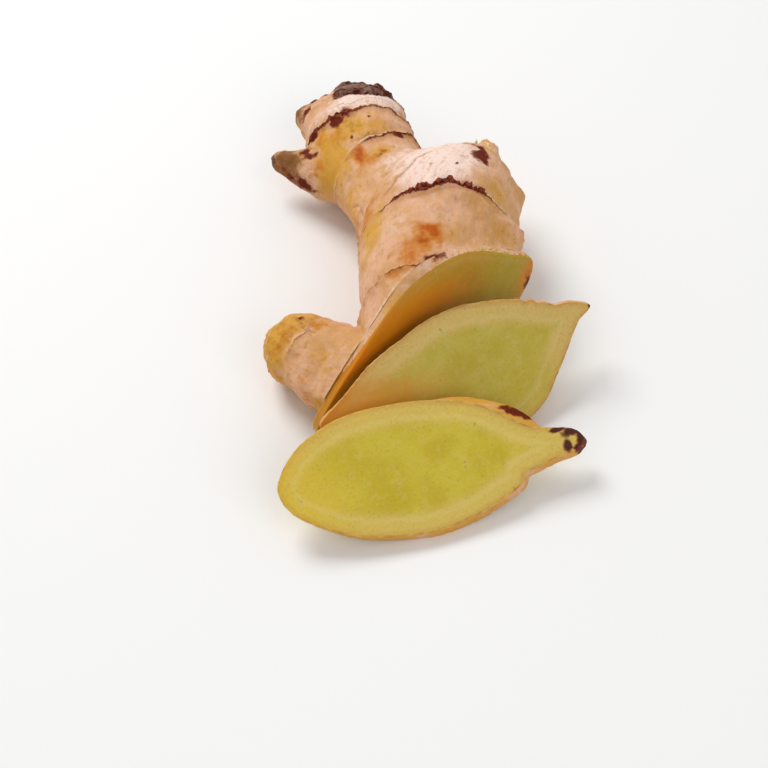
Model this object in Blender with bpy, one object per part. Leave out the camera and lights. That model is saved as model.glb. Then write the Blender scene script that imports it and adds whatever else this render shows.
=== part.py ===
# A piece of fresh ginger root, cut on a slant, with three of its slices leaning on the cut face.
# Blender 4.5. The scene is in metres with +Z up, and everything rests on the plane z = 0.
# The root is a few round fingers that grow into one another, so their surfaces are worked out one
# by one, fused, and then cut. A slice is an outline on a leaning plane, given a thickness.

from math import cos, pi, radians, sin

import bmesh
import bpy
import numpy as np

MM = 0.001
GAP = 0.3 * MM  # air between two pieces that rest on each other
TINY = 1e-12  # keeps a length from being nothing

# Fingers. Each row is a station on the middle line: x, y, z, half width, half height, in mm.
TRUNK = [(18.5, -22, 14, 14.0, 13.5), (14.3, -4, 15, 15.6, 14.6), (11.7, 14, 15.3, 16.3, 15.2),
         (11.7, 30, 15.5, 15.4, 15.4), (13.9, 41, 15.5, 15.6, 15.0), (18.4, 49.5, 15, 11.7, 12.0),
         (21.6, 57.5, 14.5, 6.8, 8.2)]
UPPER_FINGER = [(11.5, 26, 14, 10.0, 10.8), (7.2, 36.8, 14, 9.8, 10.6), (3.0, 46.2, 12.8, 9.8, 10.4),
                (-0.9, 56.4, 11.7, 10.3, 10.6), (-3.9, 65.4, 11, 10.9, 10.6), (-5.8, 72, 10.8, 10.8, 10.1),
                (-6.8, 77, 10.6, 10.3, 9.6), (-7.2, 81.4, 10.6, 9.2, 8.6)]
SIDE_BRANCH = [(10, -1.5, 12.4, 9.6, 10.6), (-2, -0.2, 10.8, 8.8, 9.4), (-9.8, 4.7, 9, 8.1, 8.5),
               (-14.2, 8.2, 8.3, 7.8, 8.1), (-18.4, 11.2, 7.6, 7.3, 7.5), (-23.6, 14.2, 6.9, 6.0, 6.4)]
LEFT_BUD = [(-8, 59.6, 9.3, 6.3, 7.2), (-14, 62.1, 9.3, 5.2, 6.0), (-19.9, 64.6, 9.3, 3.1, 3.8),
            (-24.9, 66.3, 9.3, 1.4, 1.6)]
BROWN_BUD = [(-11.5, 75, 10.8, 4.5, 5), (-16.2, 77.5, 10.8, 3.4, 3.8), (-19.8, 79.6, 11.3, 1.7, 1.9)]
HUMP_BUD = [(19, 52.5, 15.5, 6.5, 6.5), (22.0, 58, 15.6, 3.9, 3.9), (23.6, 62.4, 16, 1.5, 1.5)]
REAR_BUD = [(16, 44, 12, 7.5, 7.5), (15, 52, 8.8, 5.8, 6.2), (14.5, 57.5, 7.2, 3.8, 4.2)]

# Leaf scars: distance along the finger, tilt across it and height of the lip, in mm.
TRUNK_RINGS = [(40.0, 2.8, 1.1), (58.3, 5.0, 1.2), (74.5, 3.0, 0.6)]
UPPER_RINGS = [(35.3, 3.0, 0.9), (46.4, 0.5, 1.1), (53.0, -0.8, 1.0)]
BRANCH_RINGS = [(19.5, 0.5, 0.6), (27.7, -0.5, 0.9), (35.0, 0.5, 0.9)]

LIP_RISE = 2.4 * MM  # how far before a scar its skin starts to lift
LIP_FALL = 0.7 * MM  # how soon it drops again past the scar
GROOVE = 0.35  # depth of the groove past the lip, as a part of the lip
SWELL = 0.5 * MM  # how much the skin fills out between two scars
LUMP = 0.22 * MM  # height of each of the slow waves that make the skin uneven
LUMP_WAVES = [(3, 5 * MM, 0), (2, -8 * MM, 1), (1, 4 * MM, 0)]  # times round, length along, start
RING_WAVES = [(5, 1, 0.5), (11, 2, 0.3)]  # how a scar wanders: times round, start, size in mm
FILLET = 7.0 * MM  # how far apart two fingers start to grow together
BUD_FILLET = 3.5 * MM

CROWN_HEIGHT = 1.8 * MM  # ragged rim round the dried end of the upper finger
CROWN_TEETH = [(15, 1.4), (62, 0.9), (118, 0.6), (165, 1.0), (230, 0.7), (300, 0.8)]  # degrees, share
CROWN_WIDTH = 20  # degrees that a tooth takes
CROWN_LOW = 0.35  # height between the teeth, as a part of the height

CROWN_PLACE = 0.86  # where the rim stands, as a part of the end's radius
CROWN_SPREAD = 0.12

FINGER_ROWS = 150
END_ROWS = 30  # of these, at each end
FINGER_SIDES = 72
END_SHAPE = 0.8  # below 1, an end is blunter than an ellipse
TRUNK_END = 0.8  # length of an end, as a part of the half width there
UPPER_END = 0.35
BUD_END = 1.0
VOXEL = 0.85 * MM
SKIN_FACES = 7200

# Slices. Each leans on a plane that is turned about Z and laid back from upright, both in degrees.
# foot is the point of the plane on the table, x and y in mm, from which its outline is measured:
# along the table, then up the slope, in mm. shear is how far the back face is shifted likewise,
# because the cuts run slantwise through the root.
INNER = dict(turn=40, lean=8, foot=(13.3, 11.3), thick=1.6, shear=(0.3, 0.0), outline=[
    (-33.6, 7.4), (-30, 11.6), (-25.6, 15.5), (-19.1, 20.8), (-12, 26.6), (-8, 29.3), (-3.5, 30.4),
    (2, 30), (8, 28), (14.8, 24.2), (20.4, 19.8), (23.8, 17.2), (25, 14.6), (23.5, 10.6),
    (19.5, 6.6), (13, 3.2), (5, 0.9), (-5, 0.25), (-16, 0.4), (-26, 1.5), (-32, 3.8)])
MIDDLE = dict(turn=30, lean=44, foot=(20.0, -11.25), thick=3.0, shear=(1.0, 0.0), outline=[
    (-29.4, 20.0), (-22, 24.8), (-13.6, 28.8), (-6.5, 30.7), (1, 31.2), (10.9, 29.6), (19.4, 27),
    (23.2, 25), (26.3, 22.9), (29.5, 22.2), (33.6, 19.8), (29.8, 17.6), (26.4, 14.2), (21.7, 9.6),
    (17.1, 5.5), (11, 3.2), (3, 2.6), (-5, 3.7), (-14, 7.2), (-22, 12), (-27.6, 16)])
FRONT = dict(turn=17, lean=57.7, foot=(3.7, -37.3), thick=2.8, shear=(1.4, -0.8), outline=[
    (-20.1, 19.6), (-18.4, 23.2), (-15, 26.6), (-10.7, 29.0), (-4.4, 30.9), (3.7, 31.2), (12.6, 30.2),
    (20.1, 27.9), (26.3, 24.2), (31, 21.0), (35.6, 19.4), (39.6, 18.2), (41.2, 15.9), (39, 13.8),
    (34.6, 13.1), (29.8, 12.1), (28, 11.7), (26.6, 9.7), (22.4, 7.9), (16.1, 6.0), (8, 4.9), (0, 5.9),
    (-7.4, 7.8), (-14.3, 11.6), (-18.6, 15.2)])

# Near the cut, the root's skin is drawn in to the outline of the slice that was cut from it.
MEET_MIDDLE = (-4.0, 15.0)  # on the inner slice's plane, in mm as its outline
MEET_REACH = 16 * MM  # how far behind the cut that starts
MEET_INSET = 0.25 * MM  # how far inside the slice's outline the root's stays
MEET_MOST = 1.03  # the skin isn't let out by more than this
MEET_BINS = 60  # directions round the middle in which the skin is measured

SLICE_POINTS = 120
EDGE_BEVEL = 0.35 * MM

SKIN_COLOUR = (0.72, 0.45, 0.30)
FLESH_COLOUR = (0.62, 0.50, 0.10)


def smooth_rows(rows, count, closed=False):
    """A Catmull-Rom curve through rows, read at count places evenly spaced along its x, y and z."""
    rows = np.asarray(rows, float)
    if closed:
        knots = np.concatenate([rows[-1:], rows, rows[:2]])
    else:
        knots = np.concatenate([2 * rows[:1] - rows[1:2], rows, 2 * rows[-1:] - rows[-2:-1]])
    t = np.linspace(0, 1, 24, endpoint=False)[:, None, None]
    a, b, c, d = knots[:-3], knots[1:-2], knots[2:-1], knots[3:]
    curve = 0.5 * (2 * b + (c - a) * t + (2 * a - 5 * b + 4 * c - d) * t ** 2
                   + (3 * b - a - 3 * c + d) * t ** 3)
    curve = curve.transpose(1, 0, 2).reshape(-1, rows.shape[1])
    curve = np.concatenate([curve, knots[1:2] if closed else rows[-1:]])
    steps = np.linalg.norm(np.diff(curve[:, :3], axis=0), axis=1)
    along = np.concatenate([[0], np.cumsum(steps)])
    wanted = np.linspace(0, along[-1], count, endpoint=not closed)
    return np.stack([np.interp(wanted, along, column) for column in curve.T], axis=1)


def unit(vectors):
    return vectors / np.linalg.norm(vectors, axis=-1, keepdims=True)


def finger_surface(stations, blunt, rings=(), crown=False):
    """Points of a tube along the stations, as rows x sides x 3, its middle line and its radius.

    A point is middle + taper * (width * cos(angle) * side + height * sin(angle) * up), where taper
    goes to nothing at both ends as a quarter circle does, and the skin's relief is added outwards.
    """
    line = smooth_rows(np.array(stations) * MM, 400)
    along = np.linspace(0, np.linalg.norm(np.diff(line[:, :3], axis=0), axis=1).sum(), len(line))
    length = along[-1]
    cap = np.array([line[0, 3], line[-1, 3]]) * blunt
    quarter = np.linspace(0, pi / 2, END_ROWS, endpoint=False)
    start = cap[0] * (1 - np.cos(quarter))
    stop = length - cap[1] * (1 - np.cos(quarter[::-1]))
    middle = np.linspace(cap[0], length - cap[1], FINGER_ROWS - 2 * END_ROWS)
    s = np.concatenate([start, middle, stop])
    taper = np.concatenate([np.sin(quarter), np.ones(len(middle)), np.sin(quarter[::-1])])
    taper = taper[:, None] ** END_SHAPE

    centre = np.stack([np.interp(s, along, line[:, i]) for i in range(3)], axis=1)
    width = np.interp(s, along, line[:, 3])[:, None]
    height = np.interp(s, along, line[:, 4])[:, None]
    slopes = np.gradient(line[:, :3], axis=0).T
    tangent = unit(np.stack([np.interp(s, along, slope) for slope in slopes], axis=1))
    side = unit(np.cross(tangent, (0, 0, 1)))
    up = np.cross(side, tangent)

    angle = np.linspace(0, 2 * pi, FINGER_SIDES, endpoint=False)[None, :]
    across, upright = np.cos(angle)[..., None], np.sin(angle)[..., None]
    out = unit(across * (side / width)[:, None] + upright * (up / height)[:, None])
    relief = skin_relief(s[:, None], angle, rings) * taper
    points = (centre[:, None]
              + across * (taper * width * side)[:, None]
              + upright * (taper * height * up)[:, None]
              + relief[..., None] * out)
    if crown:
        rim = crown_relief(taper, angle) * (s[:, None] > length / 2)
        points = points + rim[..., None] * tangent[:, None]
    radius = (width + height)[:, 0] / 2 * taper[:, 0]
    return points, centre, radius


def skin_relief(s, angle, rings):
    """Height of the skin: slow lumps, a swelling between scars, and a lip and groove at each scar."""
    relief = sum(LUMP * np.sin(times * angle + s / length + start) for times, length, start in LUMP_WAVES)
    places = [ring[0] * MM for ring in rings]
    for before, after in zip(places[:-1], places[1:]):
        share = np.clip((s - before) / (after - before), 0, 1)
        relief = relief + SWELL * np.sin(pi * share) ** 2
    for place, tilt, lip in rings:
        wobble = sum(size * np.sin(times * angle + start * place) for times, start, size in RING_WAVES)
        past = s - (place + tilt * np.cos(angle) + wobble) * MM
        rise = np.exp(-np.clip(-past, 0, None) / LIP_RISE)
        fall = np.exp(-(np.clip(past, 0, None) / LIP_FALL) ** 2)
        groove = GROOVE * np.exp(-((past - 2 * LIP_FALL) / LIP_FALL) ** 2)
        relief = relief + lip * MM * (np.where(past < 0, rise, fall) - groove)
    return relief


def crown_relief(taper, angle):
    """The dried end's ragged rim: a ring near the edge of the end, higher at each tooth."""
    ring = np.exp(-((taper - CROWN_PLACE) / CROWN_SPREAD) ** 2)
    teeth = CROWN_LOW + 0 * angle
    for degrees, share in CROWN_TEETH:
        away = np.angle(np.exp(1j * (angle - radians(degrees))))
        teeth = teeth + share * np.exp(-(away / radians(CROWN_WIDTH)) ** 2)
    return CROWN_HEIGHT * ring * teeth


def grow_together(fingers, reaches):
    """Push each finger's skin out where another is near, by (reach - gap)^2 / (4 reach)."""
    grown = []
    for i, (points, middle, _) in enumerate(fingers):
        flat = points.reshape(-1, 3)
        outward = unit(flat - np.repeat(middle, points.shape[1], axis=0) + TINY)
        push = np.zeros(len(flat))
        for j, (_, centre, radius) in enumerate(fingers):
            if i != j:
                reach = min(reaches[i], reaches[j])
                away = np.linalg.norm(flat[:, None] - centre[None, ::3], axis=2)
                gap = (away - radius[None, ::3]).min(axis=1)
                push = np.maximum(push, np.clip(reach - np.clip(gap, 0, None), 0, None) ** 2 / (4 * reach))
        grown.append((flat + push[:, None] * outward).reshape(points.shape))
    return grown


def tube_mesh(points, first):
    """Vertices and faces of one closed tube, its two ends closed on a point each."""
    rows, sides, _ = points.shape
    verts = np.concatenate([points.reshape(-1, 3), points[:1].mean(axis=1), points[-1:].mean(axis=1)])
    grid = np.arange(rows * sides).reshape(rows, sides) + first
    after = np.roll(grid, -1, axis=1)
    quads = np.stack([grid[:-1], grid[1:], after[1:], after[:-1]], axis=-1).reshape(-1, 4).tolist()
    head, tail = first + rows * sides, first + rows * sides + 1
    quads += [(head, a, b) for a, b in zip(grid[0], after[0])]
    quads += [(tail, b, a) for a, b in zip(grid[-1], after[-1])]
    return verts, quads


def new_object(name, verts, faces, material):
    mesh = bpy.data.meshes.new(name)
    mesh.from_pydata([tuple(v) for v in verts], [], [tuple(int(i) for i in f) for f in faces])
    mesh.materials.append(material)
    obj = bpy.data.objects.new(name, mesh)
    bpy.context.scene.collection.objects.link(obj)
    return obj


def plain_material(name, colour, roughness):
    material = bpy.data.materials.new(name)
    material.use_nodes = True
    shader = material.node_tree.nodes["Principled BSDF"]
    shader.inputs["Base Color"].default_value = (*colour, 1)
    shader.inputs["Roughness"].default_value = roughness
    return material


def slice_frame(piece):
    """The plane of a slice's front face: its foot, the directions along and up it, and outwards."""
    a, lean = radians(piece["turn"]), radians(piece["lean"])
    along = np.array([cos(a), sin(a), 0])
    slope = np.array([-sin(a) * sin(lean), cos(a) * sin(lean), cos(lean)])
    foot = np.array([*piece["foot"], 0]) * MM
    return foot, along, slope, np.cross(along, slope)


def apply_modifiers(obj):
    graph = bpy.context.evaluated_depsgraph_get()
    mesh = bpy.data.meshes.new_from_object(obj.evaluated_get(graph))
    obj.modifiers.clear()
    obj.data = mesh


def cut_flat(bm, point, outward):
    """Cut away all that lies outwards of the plane and close the cut with a flat face."""
    geometry = bm.verts[:] + bm.edges[:] + bm.faces[:]
    cut = bmesh.ops.bisect_plane(bm, geom=geometry, dist=1e-7, plane_co=point, plane_no=outward,
                                 clear_outer=True)
    rim = [e for e in cut["geom_cut"] if isinstance(e, bmesh.types.BMEdge)]
    return bmesh.ops.contextual_create(bm, geom=rim)["faces"]


def meet_slice(mesh):
    """Draw the skin near the cut in or out, so that the cut has the inner slice's outline.

    About the middle of the slice, a point's distance is multiplied by 1 + near * (slice / skin - 1),
    where near falls from 1 at the cut to 0 at MEET_REACH behind it,
    and slice / skin is MEET_MOST at most, because the slice's right end stands out past the root.
    """
    foot, along, slope, outward = slice_frame(INNER)
    cut = foot - outward * (INNER["thick"] * MM + GAP)
    middle = np.array(MEET_MIDDLE) * MM
    points = np.zeros(len(mesh.vertices) * 3)
    mesh.vertices.foreach_get("co", points)
    points = points.reshape(-1, 3) - cut
    flat = np.stack([points @ along, points @ slope], axis=1) - middle
    behind = -points @ outward
    angle = np.arctan2(flat[:, 1], flat[:, 0])
    distance = np.linalg.norm(flat, axis=1)

    bins = np.linspace(-pi, pi, MEET_BINS, endpoint=False)
    at_cut = np.abs(behind) < VOXEL
    which = np.digitize(angle[at_cut], bins) - 1
    skin = np.array([distance[at_cut][which == i].mean() for i in range(MEET_BINS)])
    skin = (np.roll(skin, 1) + 2 * skin + np.roll(skin, -1)) / 4
    outline = smooth_rows(np.array(INNER["outline"], float) * MM, 400, closed=True) - middle
    outline_angle = np.arctan2(outline[:, 1], outline[:, 0])
    outline_distance = np.linalg.norm(outline, axis=1) - MEET_INSET
    target = np.interp(angle, outline_angle, outline_distance, period=2 * pi)
    actual = np.interp(angle, bins + pi / MEET_BINS, skin, period=2 * pi)

    near = np.clip(1 - np.clip(behind, 0, None) / MEET_REACH, 0, 1)
    near = near * near * (3 - 2 * near)
    ratio = np.minimum(target / actual, MEET_MOST)
    flat = flat * (1 + near * (ratio - 1))[:, None] + middle
    points = cut + flat[:, :1] * along + flat[:, 1:] * slope - behind[:, None] * outward
    mesh.vertices.foreach_set("co", points.ravel())
    mesh.update()


def make_rhizome(skin, flesh):
    buds = [finger_surface(bud, BUD_END) for bud in (LEFT_BUD, BROWN_BUD, HUMP_BUD, REAR_BUD)]
    fingers = [finger_surface(TRUNK, TRUNK_END, TRUNK_RINGS),
               finger_surface(UPPER_FINGER, UPPER_END, UPPER_RINGS, crown=True),
               finger_surface(SIDE_BRANCH, TRUNK_END, BRANCH_RINGS)]
    reaches = [FILLET] * len(fingers) + [BUD_FILLET] * len(buds)
    fingers += buds
    verts, faces = [], []
    for points in grow_together(fingers, reaches):
        tube, quads = tube_mesh(points, sum(len(v) for v in verts))
        verts.append(tube)
        faces += quads
    obj = new_object("rhizome", np.concatenate(verts), faces, skin)
    remesh = obj.modifiers.new("fuse", "REMESH")
    remesh.mode = "VOXEL"
    remesh.voxel_size = VOXEL
    apply_modifiers(obj)
    meet_slice(obj.data)
    smooth = obj.modifiers.new("smooth", "SMOOTH")
    smooth.factor = 0.5
    smooth.iterations = 2
    thin = obj.modifiers.new("thin", "DECIMATE")
    thin.ratio = SKIN_FACES / (2 * len(obj.data.polygons))  # the ratio counts triangles
    apply_modifiers(obj)

    foot, _, _, outward = slice_frame(INNER)
    bm = bmesh.new()
    bm.from_mesh(obj.data)
    cut_flat(bm, (0, 0, 0), (0, 0, -1))
    for face in cut_flat(bm, foot - outward * (INNER["thick"] * MM + GAP), outward):
        face.material_index = 1
    bmesh.ops.triangulate(bm, faces=bm.faces[:])
    bmesh.ops.recalc_face_normals(bm, faces=bm.faces[:])
    bm.to_mesh(obj.data)
    bm.free()
    obj.data.materials.clear()
    obj.data.materials.append(skin)
    obj.data.materials.append(flesh)
    obj.data.shade_smooth()
    obj.data.set_sharp_from_angle(angle=radians(50))
    return obj


def make_slice(name, piece, flesh):
    """Front face, bevelled edge, rim and back face, loop by loop, each a copy of the outline."""
    foot, along, slope, outward = slice_frame(piece)
    outline = smooth_rows(np.array(piece["outline"], float) * MM, SLICE_POINTS, closed=True)
    step = np.roll(outline, -1, axis=0) - np.roll(outline, 1, axis=0)
    inward = unit(np.stack([step[:, 1], -step[:, 0]], axis=1))
    shear = np.array(piece["shear"]) * MM
    thick = piece["thick"] * MM
    loops = [(EDGE_BEVEL, 0), (0, EDGE_BEVEL), (0, thick - EDGE_BEVEL), (EDGE_BEVEL, thick)]
    rows = []
    for inset, depth in loops:
        flat = outline + inward * inset + shear * depth / thick
        rows.append(foot + flat[:, :1] * along + flat[:, 1:] * slope - depth * outward)
    grid = np.arange(len(loops) * SLICE_POINTS).reshape(len(loops), SLICE_POINTS)
    after = np.roll(grid, -1, axis=1)
    faces = np.stack([grid[:-1], grid[1:], after[1:], after[:-1]], axis=-1).reshape(-1, 4).tolist()
    faces += [grid[0][::-1].tolist(), grid[-1].tolist()]
    obj = new_object(name, np.concatenate(rows), faces, flesh)
    bm = bmesh.new()
    bm.from_mesh(obj.data)
    bmesh.ops.triangulate(bm, faces=bm.faces[:])
    bmesh.ops.recalc_face_normals(bm, faces=bm.faces[:])
    bm.to_mesh(obj.data)
    bm.free()
    obj.data.shade_smooth()
    obj.data.set_sharp_from_angle(angle=radians(40))
    return obj


def main():
    for obj in list(bpy.data.objects):
        bpy.data.objects.remove(obj)
    skin = plain_material("ginger_skin", SKIN_COLOUR, 0.55)
    flesh = plain_material("ginger_flesh", FLESH_COLOUR, 0.35)
    pieces = [make_rhizome(skin, flesh), make_slice("slice_inner", INNER, flesh),
              make_slice("slice_middle", MIDDLE, flesh), make_slice("slice_front", FRONT, flesh)]
    corners = np.concatenate([[v.co[:] for v in obj.data.vertices] for obj in pieces])
    low, high = corners.min(axis=0), corners.max(axis=0)
    shift = np.array([(low[0] + high[0]) / 2, (low[1] + high[1]) / 2, low[2]])
    for obj in pieces:
        for vertex in obj.data.vertices:
            vertex.co = np.array(vertex.co) - shift
    return pieces


main()
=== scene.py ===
# Fresh ginger root, cut on a slant, with three of its slices leaning on the cut face.
# The looks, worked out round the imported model. Numbers in the dictionaries are in millimetres and
# degrees. Every shape is worked out in the frame of part.py's stations and then moved by one shift.

from itertools import product
from math import cos, pi, radians, sin

import bmesh
import bpy
import numpy as np
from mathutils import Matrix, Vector
from mathutils.bvhtree import BVHTree


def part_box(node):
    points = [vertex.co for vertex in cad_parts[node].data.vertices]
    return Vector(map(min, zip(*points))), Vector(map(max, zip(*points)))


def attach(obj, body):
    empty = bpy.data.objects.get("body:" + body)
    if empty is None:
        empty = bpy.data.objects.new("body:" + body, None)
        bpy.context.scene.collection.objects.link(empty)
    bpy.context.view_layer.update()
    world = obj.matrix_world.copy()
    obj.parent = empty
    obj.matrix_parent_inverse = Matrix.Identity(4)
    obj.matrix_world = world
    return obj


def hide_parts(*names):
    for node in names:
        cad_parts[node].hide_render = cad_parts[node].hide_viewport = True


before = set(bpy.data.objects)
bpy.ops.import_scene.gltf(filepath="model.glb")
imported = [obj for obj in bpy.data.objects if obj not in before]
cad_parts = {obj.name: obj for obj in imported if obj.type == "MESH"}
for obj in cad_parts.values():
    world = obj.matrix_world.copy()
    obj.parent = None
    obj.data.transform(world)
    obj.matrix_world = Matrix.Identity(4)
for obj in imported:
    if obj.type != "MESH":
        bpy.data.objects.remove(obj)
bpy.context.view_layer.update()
print("frame loaded:", ", ".join(sorted(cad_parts)))

mm = 0.001
tiny = 1e-12


def unit(vectors):
    return vectors / (np.linalg.norm(vectors, axis=-1, keepdims=True) + tiny)


def ease(x):  # 3x^2 - 2x^3 between 0 and 1
    x = np.clip(x, 0, 1)
    return x * x * (3 - 2 * x)


def smoothRows(rows, count, closed=False):  # Catmull-Rom through the rows, read at even steps along x, y, z
    rows = np.asarray(rows, float)
    if closed:
        knots = np.concatenate([rows[-1:], rows, rows[:2]])
    else:
        knots = np.concatenate([2 * rows[:1] - rows[1:2], rows, 2 * rows[-1:] - rows[-2:-1]])
    t = np.linspace(0, 1, 24, endpoint=False)[:, None, None]
    a, b, c, d = knots[:-3], knots[1:-2], knots[2:-1], knots[3:]
    curve = 0.5 * (2 * b + (c - a) * t + (2 * a - 5 * b + 4 * c - d) * t ** 2
                   + (3 * b - a - 3 * c + d) * t ** 3)
    curve = curve.transpose(1, 0, 2).reshape(-1, rows.shape[1])
    curve = np.concatenate([curve, knots[1:2] if closed else rows[-1:]])
    along = np.concatenate([[0], np.cumsum(np.linalg.norm(np.diff(curve[:, :3], axis=0), axis=1))])
    wanted = np.linspace(0, along[-1], count, endpoint=not closed)
    return np.stack([np.interp(wanted, along, column) for column in curve.T], axis=1)


def noise(points, size, seed):  # random heights on a grid of that size, eased between, from -1 to 1
    place = points / size
    cell = np.floor(place).astype(np.int64)
    part = place - cell
    part = part * part * (3 - 2 * part)
    total = np.zeros(len(points))
    for corner in product((0, 1), repeat=3):
        x, y, z = (cell + corner).T
        mixed = (x * 73856093 ^ y * 19349663 ^ z * 83492791 ^ seed * 6542989) & 0x7FFFFFFF
        mixed = (mixed ^ mixed >> 13) * 1274126177 & 0x7FFFFFFF
        mixed = (mixed ^ mixed >> 16) * 668265263 & 0x7FFFFFFF
        weight = np.prod(np.where(corner, part, 1 - part), axis=1)
        total += weight * (mixed / 0x3FFFFFFF - 1)
    return total


def cloud(points, size, seed, octaves=3):  # noise at size, size / 2, size / 4 ..., each half as high
    return sum(noise(points, size / 2 ** i, seed + i) / 2 ** i for i in range(octaves))


# Each slice leans on a plane that is turned about Z and laid back from upright; u runs along the table
# and v up the slope. marks, amberMarks and ripe: u, v, reach along each, strength. nicks: u, v, reach,
# depth. trim: how far the upper edge is pulled in at u; flare: how far it is let out again at the back.
# skinAbove: the depth from which the upper edge is peel at u, and skinBelow that of the lower edge.
# amberFrom and amberMarks place painted amber: painted shade near the slice that leans on this one, with a
# painted glow as of light coming through the flesh.
innerTrim = [(-17, 0), (-14.5, 0.2), (-12.5, 0.6), (-10, 1.3), (-7.5, 1.85), (-3, 1.9), (0, 1.35), (3, 0.8),
             (6, 0.35), (9, 0.15), (12, 0.2), (16, 0.45), (19, 0.35), (22, 0.05), (24, 0)]
sliceInner = dict(
    turn=40, lean=8, foot=(13.3, 11.3), thick=1.6, shear=(0.3, 0.0), outline=[
        (-33.6, 7.4), (-30, 11.6), (-25.6, 15.5), (-19.1, 20.8), (-12, 26.6), (-8, 29.3), (-3.5, 30.4),
        (2, 30), (8, 28), (14.8, 24.2), (20.4, 19.8), (23.8, 17.2), (25, 14.6), (23.5, 10.6),
        (19.5, 6.6), (13, 3.2), (5, 0.9), (-5, 0.25), (-16, 0.4), (-26, 1.5), (-32, 3.8)],
    centre=(-4, 13), cortex=2.6, ragged=0.03, over=0.08, reachBack=0.30, frontBevel=0.3, backBevel=0.03,
    trim=innerTrim, flare=innerTrim,
    skinAbove=[(-27, 9), (-26, 1.4), (-22, 0.95), (-16, 0.3), (23.5, 0.2), (24.5, 9)], skinBelow=9,
    nicks=[], ochre=0.10, pale=0.30,
    amberFrom="middle", amberMarks=[(23.8, 10.8, 2.8, 4.6, 1.25)], ripe=(17, 18, 7, 8),
    marks=[(24.9, 12.5, 0.5, 0.9, 1.25), (23.2, 9.8, 1.2, 3.0, 0.82), (1.6, 30.1, 1.9, 0.6, 0.85)])
sliceMiddle = dict(
    turn=30, lean=44, foot=(20.0, -11.25), thick=3.0, shear=(1.0, 0.0), outline=[
        (-29.4, 20.0), (-22, 24.8), (-13.6, 28.8), (-6.5, 30.7), (1, 31.2), (10.9, 29.6), (19.4, 27),
        (23.2, 25), (26.3, 22.9), (29.5, 22.2), (33.6, 19.8), (29.8, 17.6), (26.4, 14.2), (21.7, 9.6),
        (17.1, 5.5), (11, 3.2), (3, 2.6), (-5, 3.7), (-14, 7.2), (-22, 12), (-27.6, 16)],
    centre=(2, 17.5), cortex=3.2, ragged=0.12, over=0, reachBack=0, frontBevel=0.22, backBevel=0.22,
    trim=[(-29.4, 0), (-26, 0.8), (-21, 1.0), (-17, 0.9), (-12, 1.35), (-8, 1.5), (-4, 1.05), (1, 0.5),
          (6, 0), (18, 0.1), (22, 0)],
    flare=[(-29.4, 0), (-24, -0.4), (-4, -0.45), (2, -0.5), (6, -0.3), (18, -0.3), (22, 0)],
    skinAbove=[(0, 0.1)], skinBelow=0.1, ochre=0.45, pale=0.0,
    nicks=[(20.6, 26.9, 1.0, 0.7), (23.0, 25.3, 0.8, 0.5)],
    amberFrom="front", amberMarks=[(-22, 18, 8, 7, 0.5)], ripe=(14, 10, 9, 7),
    marks=[(33.5, 19.8, 0.5, 0.5, 1.25)])
sliceFront = dict(
    turn=17, lean=57.7, foot=(3.7, -37.3), thick=2.8, shear=(1.4, -0.8), outline=[
        (-20.1, 19.6), (-18.4, 23.2), (-15, 26.6), (-10.7, 29.0), (-4.4, 30.9), (3.7, 31.2),
        (12.6, 30.2), (20.1, 27.9), (26.3, 24.2), (31, 21.0), (35.6, 19.4), (39.6, 18.2), (41.2, 15.9),
        (39, 13.8), (34.6, 13.1), (29.8, 12.1), (28, 11.7), (26.6, 9.7), (22.4, 7.9), (16.1, 6.0),
        (8, 4.9), (0, 5.9), (-7.4, 7.8), (-14.3, 11.6), (-18.6, 15.2)],
    centre=(14, 16.8), cortex=3.0, ragged=0.12, over=0, reachBack=0, frontBevel=0.22, backBevel=0.22,
    trim=[(14, 0), (18, -0.25), (23, -0.3), (26.5, -0.15), (28, 0.1), (31, 0.25), (35, 0.15), (37, 0)],
    flare=[(8, 0), (15, 1.3), (18, 1.6), (21.4, 1.8), (24, 2.2), (26.2, 2.6), (28, 2.7), (29.4, 2.5),
           (30.6, 2.1), (32, 1.2), (33.6, 0.5), (36, 0)],
    skinAbove=[(0, 0.1)], skinBelow=0.1, ochre=0.7, pale=0.0,
    amberFrom=None, amberMarks=[], ripe=(-16, 17, 12, 10), nicks=[],
    marks=[(40.9, 15.8, 1.2, 1.9, 1.25), (39.2, 17.7, 2.0, 0.9, 1.25), (36.6, 18.6, 1.6, 0.5, 1.25),
           (39.9, 14.2, 1.4, 0.7, 1.25), (37.7, 15.0, 1.0, 1.1, 1.25), (27.0, 25.9, 1.3, 0.8, 1.0),
           (28.3, 25.0, 1.5, 0.9, 1.3), (29.7, 24.1, 1.5, 0.9, 1.3), (30.9, 23.1, 1.1, 0.8, 1.1)])
cadBevel, cadPoints = 0.35, 120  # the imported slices' rounding, and the points of their outlines


def sliceFrame(piece):  # foot, the directions along the table and up the slope, and outwards from the face
    a, lean = radians(piece["turn"]), radians(piece["lean"])
    along = np.array([cos(a), sin(a), 0])
    slope = np.array([-sin(a) * sin(lean), cos(a) * sin(lean), cos(lean)])
    return np.array([*piece["foot"], 0]) * mm, along, slope, np.cross(along, slope)


def outlineOf(piece, count):  # the outline and its inward directions, in metres on the plane
    outline = smoothRows(np.array(piece["outline"], float) * mm, count, closed=True)
    step = np.roll(outline, -1, axis=0) - np.roll(outline, 1, axis=0)
    return outline, unit(np.stack([step[:, 1], -step[:, 0]], axis=1))


def onPlane(piece, flat, depth):  # foot + u * along + v * slope - depth * outward
    foot, along, slope, outward = sliceFrame(piece)
    return foot + flat[..., :1] * along + flat[..., 1:2] * slope - np.asarray(depth)[..., None] * outward


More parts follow.
